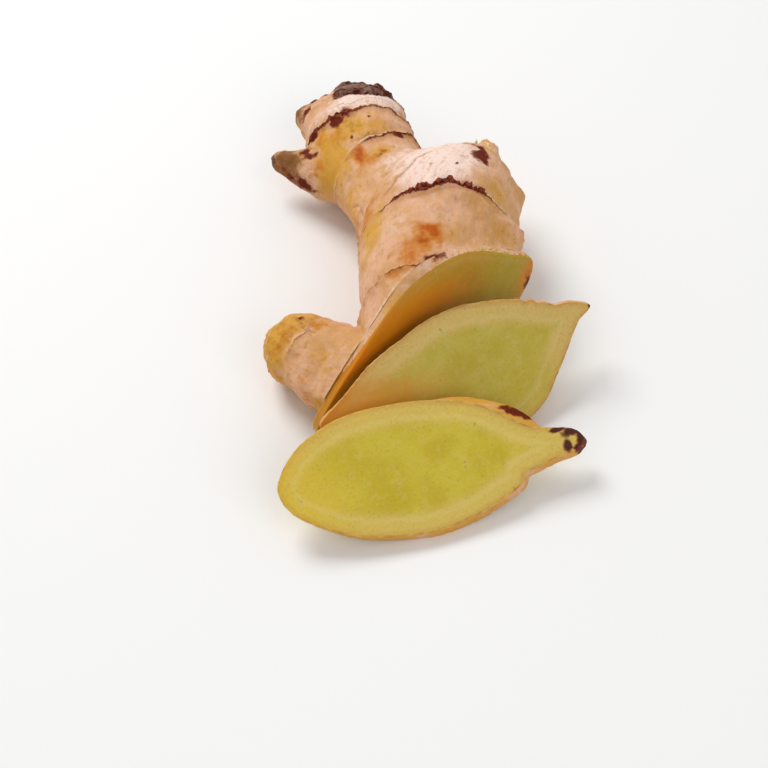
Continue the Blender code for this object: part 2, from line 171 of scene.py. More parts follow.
def findShift():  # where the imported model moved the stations' frame, read off the front slice's box
    outline, inward = outlineOf(sliceFront, cadPoints)
    thick, bevel = sliceFront["thick"] * mm, cadBevel * mm
    corners = []
    for inset, depth in ((bevel, 0), (0, bevel), (0, thick - bevel), (bevel, thick)):
        flat = outline + inward * inset + np.array(sliceFront["shear"]) * mm * depth / thick
        corners.append(onPlane(sliceFront, flat, np.full(len(flat), depth)))
    return np.concatenate(corners).min(axis=0) - np.array(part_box("slice_front")[0])


shift = findShift()
print("shift in mm:", np.round(shift / mm, 2))


# Camera, floor and light.
view = dict(elevation=50, lens=85, distance=363, target=(0, 0, 10))
stage = dict(side=4000, floorColour="FAFAF9")
lamps = [  # place, size, power in W, from the stations' frame
    dict(name="window", place=(-330, 420, 620), size=420, power=3.6),
    dict(name="fill", place=(300, -420, 420), size=520, power=0.9),
]
skyLight = 0.48

target = np.array(view["target"]) * mm - shift
gaze = np.array([0, cos(radians(view["elevation"])), -sin(radians(view["elevation"]))])
lens = bpy.data.cameras.new("camera")
lens.lens = view["lens"]
lens.sensor_width = 36
lens.clip_start = 0.01
camera = bpy.data.objects.new("camera", lens)
camera.location = Vector(target - gaze * view["distance"] * mm)
camera.rotation_euler = Vector(gaze).to_track_quat("-Z", "Y").to_euler()
bpy.context.scene.collection.objects.link(camera)
bpy.context.scene.camera = camera
bpy.context.scene.view_settings.view_transform = "Standard"

for lamp in lamps:
    light = bpy.data.lights.new(lamp["name"], "AREA")
    light.shape = "DISK"
    light.size = lamp["size"] * mm
    light.energy = lamp["power"]
    lampObject = bpy.data.objects.new(lamp["name"], light)
    lampObject.location = Vector(np.array(lamp["place"]) * mm - shift)
    lampObject.rotation_euler = (Vector(target) - lampObject.location).to_track_quat("-Z", "Y").to_euler()
    bpy.context.scene.collection.objects.link(lampObject)
world = bpy.data.worlds.new("plain sky")
world.use_nodes = True
world.node_tree.nodes["Background"].inputs["Color"].default_value = (1, 1, 1, 1)
world.node_tree.nodes["Background"].inputs["Strength"].default_value = skyLight
bpy.context.scene.world = world
print("camera and light set")


def linear(code):  # sRGB hex to linear: ((c + 0.055) / 1.055) ^ 2.4
    parts = [int(code[i:i + 2], 16) / 255 for i in (0, 2, 4)]
    return (*(c / 12.92 if c <= 0.04045 else ((c + 0.055) / 1.055) ** 2.4 for c in parts), 1)


def setInputs(tree, node, inputs):  # each is a value, a node or a node's socket
    for name, value in inputs.items():
        if isinstance(value, bpy.types.Node):
            value = value.outputs[0]
        if isinstance(value, bpy.types.NodeSocket):
            tree.links.new(value, node.inputs[name])
        else:
            node.inputs[name].default_value = value


def addNode(tree, kind, settings=None, inputs=None):
    node = tree.nodes.new("ShaderNode" + kind)
    for name, value in (settings or {}).items():
        setattr(node, name, value)
    setInputs(tree, node, inputs or {})
    return node


def newMaterial(name, tones=()):  # and a socket for each of the piece's tones
    material = bpy.data.materials.new(name)
    material.use_nodes = True
    tree = material.node_tree
    tone = {key: addNode(tree, "Attribute", {"attribute_name": key}).outputs["Fac"] for key in tones}
    return material, tree, tree.nodes["Principled BSDF"], tone


# Map Range sockets: 0 value, 1 and 2 from, 3 and 4 to. Math sockets: 0, 1, 2.
eased = {"interpolation_type": "SMOOTHSTEP"}
plus, minus, absolute = {"operation": "ADD"}, {"operation": "SUBTRACT"}, {"operation": "ABSOLUTE"}
times, timesPlus = {"operation": "MULTIPLY"}, {"operation": "MULTIPLY_ADD"}


def layOver(tree, look, base, patches, layers):
    # Each layer's colour goes over the last as its source + rough (patches - 0.5) goes from low to high,
    # and covers it by top at the most. A colour in look is a value or a node.
    colour, masks = look[base], {}
    for source, rough, low, high, top, name in layers:
        if rough:
            shifted = addNode(tree, "Math", timesPlus, {0: patches, 1: rough, 2: -rough / 2})
            source = addNode(tree, "Math", plus, {0: source, 1: shifted})
        masks[name] = addNode(tree, "MapRange", eased, {0: source, 1: low, 2: high, 4: top})
        colour = addNode(tree, "MixRGB", {}, {"Fac": masks[name], "Color1": colour, "Color2": look[name]})
    return colour, masks


# Of these, pale serves partly as a painted highlight, crease as painted shade in the folds, and ochre partly
# as painted shade.
peelLook = dict(
    tan="D7A16A", pink="E5B28E", papery="EDC6A8", brownPatch="C6925A", streak="B98456", mottle="C48A5A",
    pale="FCE1D4", ochre="D89E34", orangeSoft="CC7C1E", orangeCore="B44C06", fleck="7A4526", brown="84552E",
    halo="B0723C", lip="F2D0AC", scarThin="94582C", scarThick="70240F", darkRim="8C4420", dark="641908",
    driedPale="A08272", driedBrown="7C4834", driedDark="45160B", crease="AE7650", crumbs="C49038",
    crumbsDark="8C6426")


def makePeel():
    # Fresh ginger peel is a thin, dry, papery skin. It is tan to pink in soft patches, finely wrinkled along
    # the finger, with torn brown leaf scars and rubbed orange spots, and it is dull with a faint soft sheen.
    material, tree, shader, tone = newMaterial("ginger peel", (
        "scar", "scarTone", "orange", "dark", "ochre", "pale", "dried", "brown", "crease", "rough"))
    look = {name: linear(code) for name, code in peelLook.items()}
    here = addNode(tree, "TexCoord").outputs["Object"]
    grain = addNode(tree, "Attribute", {"attribute_name": "grain"}).outputs["Vector"]
    stretched = addNode(tree, "VectorMath", times, {0: grain, 1: (1, 1, 0.14)})
    around = addNode(tree, "VectorMath", times, {0: grain, 1: (1, 1, 0.25)})

    # A noise's scale is 1 / its size: in metres on Object coordinates, in mm on the grain.
    broad, flakes, patches, mottle, crumble, streaks, teeth = (
        addNode(tree, "TexNoise", {}, {"Vector": where, "Scale": 1 / wide, "Detail": detail,
                                       "Roughness": roughness, "Distortion": distortion})
        for where, wide, detail, roughness, distortion in (
            (here, 8 * mm, 2, 0.5, 0), (here, 3.6 * mm, 6, 0.62, 0.6), (here, 1.9 * mm, 5, 0.62, 0),
            (here, 0.7 * mm, 4, 0.6, 0), (here, 0.38 * mm, 3, 0.5, 0), (stretched, 0.8, 4, 0.5, 0.8),
            (around, 0.8, 3, 0.5, 0)))

    # The scar runs from a little before the lip to the tips of its teeth, wider where it is stronger.
    tornStrength = addNode(tree, "Math", timesPlus, {0: patches, 1: 1.3, 2: 0.35})
    tornStrength = addNode(tree, "Math", times, {0: tornStrength, 1: tone["scarTone"]})
    toothTall = addNode(tree, "MapRange", eased, {0: teeth, 1: 0.42, 2: 0.62, 3: 0.05, 4: 1.3})
    toothTall = addNode(tree, "Math", times, {0: toothTall, 1: tornStrength})
    jag = addNode(tree, "Math", timesPlus, {0: crumble, 1: 0.7, 2: -0.35})
    wander = addNode(tree, "Math", timesPlus, {0: patches, 1: 1.4, 2: -0.7})
    jag = addNode(tree, "Math", plus, {0: jag, 1: wander})
    place = addNode(tree, "Math", plus, {0: tone["scar"], 1: jag})
    bandStart = addNode(tree, "Math", timesPlus, {0: tornStrength, 1: -0.28, 2: -0.08})
    fromStart = addNode(tree, "Math", minus, {0: place, 1: bandStart})
    pastTooth = addNode(tree, "Math", minus, {0: place, 1: toothTall})
    shown = addNode(tree, "MapRange", eased, {0: tornStrength, 1: 0.10, 2: 0.50})
    shown = addNode(tree, "MapRange", eased, {0: fromStart, 1: -0.10, 2: 0.12, 4: shown})
    lipShown = addNode(tree, "Math", times, {0: shown, 1: 0.55})
    nearScar = addNode(tree, "Math", absolute, {0: tone["scar"]})
    nearScar = addNode(tree, "MapRange", eased, {0: nearScar, 1: 2.6, 2: 0.2, 4: tornStrength})

    fleckCells = addNode(tree, "TexVoronoi", {"feature": "F1"}, {"Vector": here, "Scale": 1 / (2.6 * mm)})
    fleckPlace = addNode(tree, "Math", timesPlus, {0: crumble, 1: 0.12, 2: fleckCells.outputs["Distance"]})
    streakPlace = addNode(tree, "Math", timesPlus, {0: mottle, 1: 0.25, 2: streaks})
    darkCrumb = addNode(tree, "MapRange", eased, {0: mottle, 1: 0.46, 2: 0.60, 4: 0.55})
    look["scar"] = layOver(tree, look, "scarThin", patches, [
        (tornStrength, 0, 0.30, 0.80, 1, "scarThick")])[0]
    look["dried"] = layOver(tree, look, "driedDark", patches, [
        (streaks, 0, 0.50, 0.36, 1, "driedBrown"), (flakes, 0, 0.42, 0.66, 0.8, "driedPale")])[0]
    colour, masks = layOver(tree, look, "tan", patches, (
        (broad, 0, 0.36, 0.64, 1, "pink"),
        (flakes, 0, 0.50, 0.72, 0.30, "papery"),
        (flakes, 0, 0.48, 0.32, 0.36, "brownPatch"),
        # Pale is partly the skin's own paler patches and the cut's pale lip, and partly a painted highlight
        # on tops that face the lamp.
        (tone["pale"], 1.3, 0.15, 0.85, 0.92, "pale"),
        # Ochre: the skin's own yellow patches; on the trunk's right side, away from the lamp, it is partly
        # painted shade.
        (tone["ochre"], 1.3, 0.10, 0.80, 0.9, "ochre"),
        (streakPlace, 0, 0.66, 0.82, 0.24, "streak"),
        (mottle, 0, 0.52, 0.72, 0.35, "mottle"),
        (tone["rough"], 2.2, 0.25, 0.75, 0.50, "crumbs"),
        (tone["rough"], 2.8, 0.50, 0.95, darkCrumb, "crumbsDark"),
        (tone["brown"], 2.0, 0.15, 1.05, 0.90, "brown"),
        # Crease: darker brown along the creases, painted shade in the folds over their sunk relief.
        (tone["crease"], 0.9, 0.15, 0.95, 0.6, "crease"),
        (tone["orange"], 1.8, 0.10, 0.90, 0.84, "orangeSoft"),
        (tone["orange"], 2.6, 0.75, 1.65, 0.85, "orangeCore"),
        (nearScar, 0, 0.10, 0.75, 0.55, "halo"),
        (place, 0, 1.6, 0.5, lipShown, "lip"),
        (fleckPlace, 0, 0.13, 0.10, 0.7, "fleck"),
        (pastTooth, 0, 0.25, 0.0, shown, "scar"),
        (tone["dark"], 1.5, 0.22, 0.55, 0.75, "darkRim"),
        (tone["dark"], 1.9, 0.42, 0.72, 0.95, "dark"),
        (tone["dried"], 1.4, 0.35, 0.62, 1, "dried")))

    rough = addNode(tree, "Math", timesPlus, {0: mottle, 1: 0.30, 2: 0.38})
    rough = addNode(tree, "MixRGB", {}, {
        "Fac": masks["dried"], "Color1": rough, "Color2": (0.8, 0.8, 0.8, 1)})
    normal = {}  # wrinkles, papery flakes, pores and torn scars, each on top of the last
    for strength, height, pattern in ((0.4, 0.14, streaks), (0.6, 0.20, flakes), (0.55, 0.10, mottle),
                                      (0.9, 0.16, masks["scar"])):
        normal = {"Normal": addNode(tree, "Bump", {}, {
            "Strength": strength, "Distance": height * mm, "Height": pattern, **normal})}
    setInputs(tree, shader, {
        "Base Color": colour, "Roughness": rough, "IOR": 1.45, "Specular IOR Level": 0.1,
        "Subsurface Weight": 0.12, "Subsurface Radius": (1.0, 0.5, 0.25), "Subsurface Scale": 1.0 * mm,
        **normal})
    return material


def makeFlesh(name, colours):
    # Moist cut ginger is a wet flesh that light sinks into. A beige cortex runs round a yellow-green middle
    # with a thin pale line between them, and fibre ends show as dots. Amber is painted where slices touch:
    # painted shade, with a painted glow as of light coming through the flesh.
    material, tree, shader, tone = newMaterial(name, ("inset", "cortex", "dark", "amberShadeGlow", "ripe"))
    look = {key: linear(code) for key, code in dict(colours, darkRim="8A4A1C", dark="4E1006").items()}
    flat = addNode(tree, "Attribute", {"attribute_name": "flat"}).outputs["Vector"]
    combed = addNode(tree, "VectorMath", times, {0: flat, 1: (0.22, 1, 1)})

    # flat is in mm on the slice, so a noise's scale is 1 / its size in mm.
    broad, patches, mottle, scratches = (
        addNode(tree, "TexNoise", {}, {"Vector": where, "Scale": 1 / wide, "Detail": detail,
                                       "Roughness": roughness})
        for where, wide, detail, roughness in (
            (flat, 9, 2, 0.5), (flat, 2.2, 5, 0.6), (flat, 0.6, 4, 0.65), (combed, 0.5, 3, 0.5)))
    fibres = addNode(tree, "TexVoronoi", {"feature": "F1"}, {"Vector": flat, "Scale": 1 / 1.25})
    wander = addNode(tree, "Math", timesPlus, {0: patches, 1: 2.2, 2: -1.1})
    deep = addNode(tree, "Math", plus, {0: tone["inset"], 1: wander})
    past = addNode(tree, "Math", minus, {0: deep, 1: tone["cortex"]})
    lineShown = addNode(tree, "MapRange", eased, {0: past, 1: -0.9, 2: -0.2, 4: 0.24})
    edgeShown = addNode(tree, "MapRange", eased, {0: patches, 1: 0.40, 2: 0.64, 3: 0.10, 4: 0.62})
    look["stele"] = layOver(tree, look, "stele", patches, [(broad, 0, 0.38, 0.62, 1, "steleLight")])[0]
    colour, masks = layOver(tree, look, "cortex", patches, (
        (past, 0, -0.5, 2.6, 1, "stele"),
        (tone["ripe"], 0, 0, 1, 0.8, "ripe"),
        (patches, 0, 0.50, 0.72, 0.45, "pale"),
        (scratches, 0, 0.52, 0.76, 0.22, "pale"),
        (mottle, 0, 0.48, 0.74, 0.40, "mottle"),
        (fibres.outputs["Distance"], 0, 0.22, 0.10, 0.22, "dots"),
        (past, 0, 1.1, 0.0, lineShown, "line"),
        # Amber: painted shade where slices touch, with a painted glow as of light coming through the flesh.
        (tone["amberShadeGlow"], 0.8, 0.0, 0.9, 0.92, "amberShadeGlow"),
        (tone["inset"], 0.55, 1.3, 0.2, 0.22, "edge"),
        (tone["inset"], 0.55, 0.34, 0.10, edgeShown, "edge"),
        (tone["dark"], 1.8, 0.22, 0.56, 0.8, "darkRim"),
        (tone["dark"], 1.8, 0.42, 0.78, 0.96, "dark")))
    normal = {}  # cut marks, wet grain and fibre ends, each on top of the last
    for strength, height, pattern in ((0.35, 0.07, scratches), (0.5, 0.08, mottle),
                                      (0.4, 0.06, masks["dots"])):
        normal = {"Normal": addNode(tree, "Bump", {}, {
            "Strength": strength, "Distance": height * mm, "Height": pattern, **normal})}
    setInputs(tree, shader, {
        "Base Color": colour, "Roughness": addNode(tree, "Math", timesPlus, {0: mottle, 1: 0.25, 2: 0.28}),
        "IOR": 1.38, "Specular IOR Level": 0.35, "Subsurface Weight": 0.6,
        "Subsurface Radius": (1.0, 0.75, 0.18), "Subsurface Scale": 2.0 * mm, **normal})
    return material


def makeScale():
    # A dried leaf scale is thin brittle paper: maroon to brown, or pale straw, and quite dull.
    material, tree, shader, tone = newMaterial("dried leaf scale", ["straw"])
    here = addNode(tree, "TexCoord").outputs["Object"]
    patches = addNode(tree, "TexNoise", {}, {"Vector": here, "Scale": 1 / (0.8 * mm), "Detail": 4.0})
    light = addNode(tree, "MapRange", eased, {0: patches, 1: 0.40, 2: 0.62})
    brown, pale = (addNode(tree, "MixRGB", {}, {"Fac": light, "Color1": linear(low), "Color2": linear(high)})
                   for low, high in (("54160C", "8E4632"), ("D0A45A", "F2D898")))
    setInputs(tree, shader, {
        "Base Color": addNode(tree, "MixRGB", {}, {"Fac": tone["straw"], "Color1": brown, "Color2": pale}),
        "Normal": addNode(tree, "Bump", {}, {"Strength": 0.6, "Distance": 0.08 * mm, "Height": patches}),
        "Roughness": 0.7, "IOR": 1.45, "Specular IOR Level": 0.1})
    return material


def makeFloor():
    # Matt white board: plain, with a grain too fine to show.
    material, tree, shader, _ = newMaterial("white board")
    here = addNode(tree, "TexCoord").outputs["Object"]
    grainy = addNode(tree, "TexNoise", {}, {"Vector": here, "Scale": 1 / (3 * mm), "Detail": 2.0})
    setInputs(tree, shader, {"Base Color": linear(stage["floorColour"]),
                             "Roughness": addNode(tree, "Math", timesPlus, {0: grainy, 1: 0.1, 2: 0.75})})
    return material


peel = makePeel()
# The inner flesh is darker and browner than the others: painted shade, as the inner slice and the root's cut
# face stand in the shade behind the other slices.
fleshInner = makeFlesh("moist ginger flesh, shaded", dict(
    stele="B08A14", steleLight="B8961E", cortex="C0922C", ripe="B4A01C", pale="C6A440", mottle="9A7412",
    dots="86620E", line="C8A648", amberShadeGlow="D88614", edge="A4501A"))
fleshMiddle = makeFlesh("moist ginger flesh, green", dict(
    stele="C4B038", steleLight="CDBB50", cortex="DCBC6C", ripe="C8B43A", pale="DCCB7A", mottle="AE982E",
    dots="978424", line="E2D08C", amberShadeGlow="D8982C", edge="A8642A"))
fleshFront = makeFlesh("moist ginger flesh, yellow", dict(
    stele="CCB62A", steleLight="D6C33E", cortex="DEC260", ripe="E2C640", pale="E2CF70", mottle="B8A026",
    dots="9C8822", line="EAD98C", amberShadeGlow="D08A2C", edge="AE6C2E"))
driedScale = makeScale()
whiteBoard = makeFloor()
print("materials made")


def newPiece(name, verts, faces, materials, faceMaterial=None, sharp=40):  # verts in metres, row frame
    mesh = bpy.data.meshes.new(name)
    mesh.from_pydata(verts.tolist(), [], faces if isinstance(faces, list) else faces.tolist())
    for material in materials:
        mesh.materials.append(material)
    if faceMaterial is not None:
        mesh.polygons.foreach_set("material_index", np.asarray(faceMaterial, np.int32))
    mesh.shade_smooth()
    mesh.set_sharp_from_angle(angle=radians(sharp))
    piece = bpy.data.objects.new(name, mesh)
    bpy.context.scene.collection.objects.link(piece)
    return piece


def setTone(piece, name, values):  # a number, or three, for each vertex
    kind = "FLOAT_VECTOR" if values.ndim == 2 else "FLOAT"
    attribute = piece.data.attributes.new(name, kind, "POINT")
    attribute.data.foreach_set("vector" if values.ndim == 2 else "value", values.astype(np.float32).ravel())


def pointsOf(mesh):
    points = np.zeros(len(mesh.vertices) * 3)
    mesh.vertices.foreach_get("co", points)
    return points.reshape(-1, 3)


def applyModifiers(piece):
    graph = bpy.context.evaluated_depsgraph_get()
    mesh = bpy.data.meshes.new_from_object(piece.evaluated_get(graph))
    piece.modifiers.clear()
    piece.data = mesh


def gridFaces(rows, columns, first=0, closedRows=False):  # quads, closed round the columns
    grid = np.arange(rows * columns).reshape(rows, columns) + first
    below = np.roll(grid, -1, axis=0) if closedRows else grid[1:]
    above = grid if closedRows else grid[:-1]
    quads = np.stack([above, below, np.roll(below, -1, axis=1), np.roll(above, -1, axis=1)], axis=-1)
    return quads.reshape(-1, 4)


# The root: fingers that grow into one another. Each station is x, y, z, half width, half height, and each
# ring, a leaf scar, is mm along the finger, tilt, lip height.
rootShape = dict(
    trunk=dict(stations=[
        (18.5, -22, 14, 14.0, 13.5), (14.3, -4, 15, 15.6, 14.6), (11.7, 14, 15.3, 16.3, 15.2),
        (11.7, 30, 15.5, 15.4, 15.4), (13.9, 41, 15.5, 15.6, 15.0), (18.4, 49.5, 15, 11.7, 12.0),
        (21.6, 57.5, 14.5, 6.8, 8.2)], blunt=0.8,
        rings=[(39.2, 3.6, 1.1), (58.3, 5.0, 1.2), (74.5, 3.0, 0.6)]),
    upper=dict(stations=[
        (11.5, 26, 14, 10.0, 10.8), (7.2, 36.8, 14, 9.8, 10.6), (3.0, 46.2, 12.8, 9.8, 10.4),
        (-0.9, 56.4, 11.7, 10.3, 10.6), (-3.9, 65.4, 11, 10.9, 10.6), (-5.8, 72, 10.8, 10.8, 10.1),
        (-6.8, 77, 10.6, 10.3, 9.6), (-7.2, 81.4, 10.6, 9.2, 8.6)], blunt=0.35,
        rings=[(35.3, 3.0, 0.9), (45.9, -0.5, 1.1), (53.0, -0.8, 1.0)]),
    branch=dict(stations=[
        (10, -1.5, 12.4, 9.6, 10.6), (-2, -0.2, 10.8, 8.8, 9.4), (-9.8, 4.7, 9, 8.1, 8.5),
        (-14.2, 8.2, 8.3, 7.8, 8.1), (-18.4, 11.2, 7.6, 7.3, 7.5), (-23.6, 14.2, 6.9, 6.0, 6.4)], blunt=0.8,
        rings=[(19.5, 0.5, 0.6), (27.7, -0.5, 0.9), (35.0, 0.5, 0.9)]),
    leftBud=dict(stations=[
        (-8, 59.6, 9.3, 6.3, 7.2), (-14, 62.1, 9.3, 5.2, 6.0), (-19.9, 64.6, 9.3, 3.1, 3.8),
        (-24.9, 66.3, 9.3, 1.4, 1.6)], blunt=1.0, rings=[]),
    brownBud=dict(stations=[
        (-11.5, 75, 10.8, 4.5, 5), (-16.2, 77.5, 10.8, 3.4, 3.8), (-19.8, 79.6, 11.3, 1.7, 1.9)],
        blunt=1.0, rings=[]),
    humpBud=dict(stations=[
        (19, 52.5, 15.5, 6.5, 6.5), (21.4, 58.2, 16.2, 3.7, 3.7), (22.8, 63.2, 17.0, 1.1, 1.1)],
        blunt=1.0, rings=[]),
    rearBud=dict(stations=[
        (16, 44, 12, 7.5, 7.5), (15, 52, 8.8, 5.8, 6.2), (14.5, 57.5, 7.2, 3.8, 4.2)],
        blunt=1.0, rings=[]),
)
fingerNames = list(rootShape)
rootRelief = dict(
    lipRise=2.4, lipFall=0.7, groove=0.35, swell=0.5, lump=0.22,
    lumpWaves=[(3, 5, 0), (2, -8, 1), (1, 4, 0)],  # times round, length along, start
    ringWaves=[(5, 1, 0.5), (11, 2, 0.3)],  # times round, start, size
    fillet=7.0, budFillet=3.5,
    crownHeight=2.1, crownTeeth=[  # degrees round, share, width in degrees
        (4, 1.5, 12), (46, 1.2, 9), (74, 0.5, 9), (98, 1.1, 17), (165, 0.7, 16), (230, 0.7, 20),
        (300, 0.8, 20)],
    crownLow=0.35, crownPlace=0.86, crownSpread=0.12,
    rows=220, endRows=40, sides=120, endShape=0.8, voxel=0.40,
    meetMiddle=(-4.0, 15.0), meetReach=16, meetMost=1.03, meetBins=60, meetBand=0.85, gap=0.3,
    smoothing=0.5, smoothTimes=3, capRows=16, capShape=0.8, sunk=0.08, cutFade=1.3,
    settle=2.5, borderFar=11, borderNear=1.5, lipWide=0.5, lipMost=1.2, paleCut=0.45, paleWide=0.8,
    lumps=(0.20, 3.4, 1), grit=(0.06, 1.1, 5), wrinkles=(0.10, 1.2, 9), folds=(0.22, 2.6, 13),  # height,
    flakes=(0.10, 2.4, 31), driedCrumbs=(0.32, 1.2, 17), crumbs=(0.30, 1.7, 41),  # size, seed
    tornLip=(0.20, 0.8, 21), creases=0.30,
)


def ringWobble(angle, place):  # how far a scar wanders along the finger, in mm
    return sum(size * np.sin(times * angle + start * place) for times, start, size in rootRelief["ringWaves"])


def scarTone(name, ring, angle):  # how strong one scar is at an angle
    degrees, values = np.array(scarTones[name][ring]).T
    return np.interp(np.degrees(angle), degrees, values, period=360)


def skinHeight(s, angle, name):  # slow lumps, a swelling between scars, a lip and a groove at each; in metres
    rings = rootShape[name]["rings"]
    relief = sum(rootRelief["lump"] * mm * np.sin(times * angle + s / (length * mm) + start)
                 for times, length, start in rootRelief["lumpWaves"])
    places = [ring[0] * mm for ring in rings]
    for before, after in zip(places[:-1], places[1:]):
        share = np.clip((s - before) / (after - before), 0, 1)
        relief = relief + rootRelief["swell"] * mm * np.sin(pi * share) ** 2
    rise, fall = rootRelief["lipRise"] * mm, rootRelief["lipFall"] * mm
    for ring, (place, tilt, lip) in enumerate(rings):
        past = s - (place + tilt * np.cos(angle) + ringWobble(angle, place)) * mm
        lip = lip * (0.3 + 0.7 * np.clip(scarTone(name, ring, angle) / 0.5, 0, 1))
        up = np.exp(-np.clip(-past, 0, None) / rise)
        down = np.exp(-(np.clip(past, 0, None) / fall) ** 2)
        groove = rootRelief["groove"] * np.exp(-((past - 2 * fall) / fall) ** 2)
        relief = relief + lip * mm * (np.where(past < 0, up, down) - groove)
    return relief


def crownHeightAt(taper, angle):  # the dried end's ragged rim, higher at each tooth; in metres
    ring = np.exp(-((taper - rootRelief["crownPlace"]) / rootRelief["crownSpread"]) ** 2)
    teeth = rootRelief["crownLow"] + 0 * angle
    for degrees, share, width in rootRelief["crownTeeth"]:
        away = np.angle(np.exp(1j * (angle - radians(degrees))))
        teeth = teeth + share * np.exp(-(away / radians(width)) ** 2)
    return rootRelief["crownHeight"] * mm * ring * teeth


def fingerLine(finger, count=400):  # its middle line, distances, directions and half sizes
    line = smoothRows(np.array(finger["stations"]) * mm, count)
    along = np.linspace(0, np.linalg.norm(np.diff(line[:, :3], axis=0), axis=1).sum(), count)
    tangent = unit(np.gradient(line[:, :3], axis=0))
    side = unit(np.cross(tangent, (0, 0, 1)))
    return dict(centre=line[:, :3], along=along, tangent=tangent, side=side, up=np.cross(side, tangent),
                width=line[:, 3], height=line[:, 4], length=along[-1])


def fingerTube(name):
    # middle + taper (width cos(angle) side + height sin(angle) up) + relief outwards,
    # where taper goes to nothing at both ends as a quarter circle does
    finger = rootShape[name]
    path = fingerLine(finger)
    cap = np.array([path["width"][0], path["width"][-1]]) * finger["blunt"]
    quarter = np.linspace(0, pi / 2, rootRelief["endRows"], endpoint=False)
    start = cap[0] * (1 - np.cos(quarter))
    stop = path["length"] - cap[1] * (1 - np.cos(quarter[::-1]))
    middle = np.linspace(cap[0], path["length"] - cap[1], rootRelief["rows"] - 2 * rootRelief["endRows"])
    s = np.concatenate([start, middle, stop])
    taper = np.concatenate([np.sin(quarter), np.ones(len(middle)), np.sin(quarter[::-1])])[:, None]
    taper = taper ** rootRelief["endShape"]

    def read(values):
        if values.ndim == 1:
            return np.interp(s, path["along"], values)[:, None]
        return np.stack([np.interp(s, path["along"], column) for column in values.T], axis=1)

    centre, width, height = read(path["centre"]), read(path["width"]), read(path["height"])
    tangent = unit(read(path["tangent"]))
    side = unit(np.cross(tangent, (0, 0, 1)))
    up = np.cross(side, tangent)
    angle = np.linspace(0, 2 * pi, rootRelief["sides"], endpoint=False)[None, :]
    across, upright = np.cos(angle)[..., None], np.sin(angle)[..., None]
    out = unit(across * (side / width)[:, None] + upright * (up / height)[:, None])
    relief = skinHeight(s[:, None], angle, name) * taper
    points = (centre[:, None] + across * (taper * width * side)[:, None]
              + upright * (taper * height * up)[:, None] + relief[..., None] * out)
    if name == "upper":
        rim = crownHeightAt(taper, angle) * (s[:, None] > path["length"] / 2)
        points = points + rim[..., None] * tangent[:, None]
    return points, centre, (width + height)[:, 0] / 2 * taper[:, 0]


def squareDistances(a, b):  # |a|^2 + |b|^2 - 2 a.b for every pair
    return np.clip((a ** 2).sum(1)[:, None] + (b ** 2).sum(1)[None] - 2 * a @ b.T, 0, None)


def growTogether(fingers, reaches):
    # Skin is pushed out by (reach - gap)^2 / (4 reach) where another finger is near
    grown = []
    for i, (points, middle, _) in enumerate(fingers):
        flat = points.reshape(-1, 3)
        outward = unit(flat - np.repeat(middle, points.shape[1], axis=0))
        push = np.zeros(len(flat))
        for j, (_, centre, radius) in enumerate(fingers):
            if i != j:
                reach = min(reaches[i], reaches[j])
                gap = (np.sqrt(squareDistances(flat, centre[::4])) - radius[None, ::4]).min(axis=1)
                push = np.maximum(push, np.clip(reach - np.clip(gap, 0, None), 0, None) ** 2 / (4 * reach))
        grown.append((flat + push[:, None] * outward).reshape(points.shape))
    return grown


def closedTube(points, first=0, ends=None):  # both ends closed on a point: their middles, or the given ends
    rows, sides, _ = points.shape
    ends = points[[0, -1]].mean(axis=1) if ends is None else ends
    verts = np.concatenate([points.reshape(-1, 3), ends])
    ring = np.arange(sides)
    head, tail = first + rows * sides, first + rows * sides + 1
    faces = gridFaces(rows, sides, first).tolist()
    start, stop = first + ring, first + (rows - 1) * sides + ring
    faces += np.stack([np.full(sides, head), start, np.roll(start, -1)], axis=1).tolist()
    faces += np.stack([np.full(sides, tail), np.roll(stop, -1), stop], axis=1).tolist()
    return verts, faces


def meetSlice(points):
    # About the middle of the inner slice, a point's distance is multiplied by 1 + near (slice / skin - 1),
    # where slice / skin is averaged at the cut, and near falls from 1 there to 0 at meetReach behind it
    foot, along, slope, outward = sliceFrame(sliceInner)
    cut = foot - outward * (sliceInner["thick"] + rootRelief["gap"]) * mm
    middle = np.array(rootRelief["meetMiddle"]) * mm
    points = points - cut
    flat = np.stack([points @ along, points @ slope], axis=1) - middle
    behind = -points @ outward
    angle = np.arctan2(flat[:, 1], flat[:, 0])
    distance = np.linalg.norm(flat, axis=1)
    count = rootRelief["meetBins"]
    bins = np.linspace(-pi, pi, count, endpoint=False)
    atCut = np.abs(behind) < rootRelief["meetBand"] * mm
    outline = outlineOf(sliceInner, 400)[0] - middle
    edge = np.linalg.norm(outline, axis=1)
    wanted = np.interp(angle, np.arctan2(outline[:, 1], outline[:, 0]), edge, period=2 * pi)
    which = np.digitize(angle[atCut], bins) - 1
    ratio = np.bincount(which, (wanted / distance)[atCut], count) / np.bincount(which, minlength=count)
    ratio = np.interp(angle, bins + pi / count, (np.roll(ratio, 1) + 2 * ratio + np.roll(ratio, -1)) / 4,
                      period=2 * pi)
    near = ease(1 - np.clip(behind, 0, None) / (rootRelief["meetReach"] * mm))
    ratio = np.minimum(ratio, rootRelief["meetMost"])
    flat = flat * (1 + near * (ratio - 1))[:, None] + middle
    return cut + flat[:, :1] * along + flat[:, 1:] * slope - behind[:, None] * outward


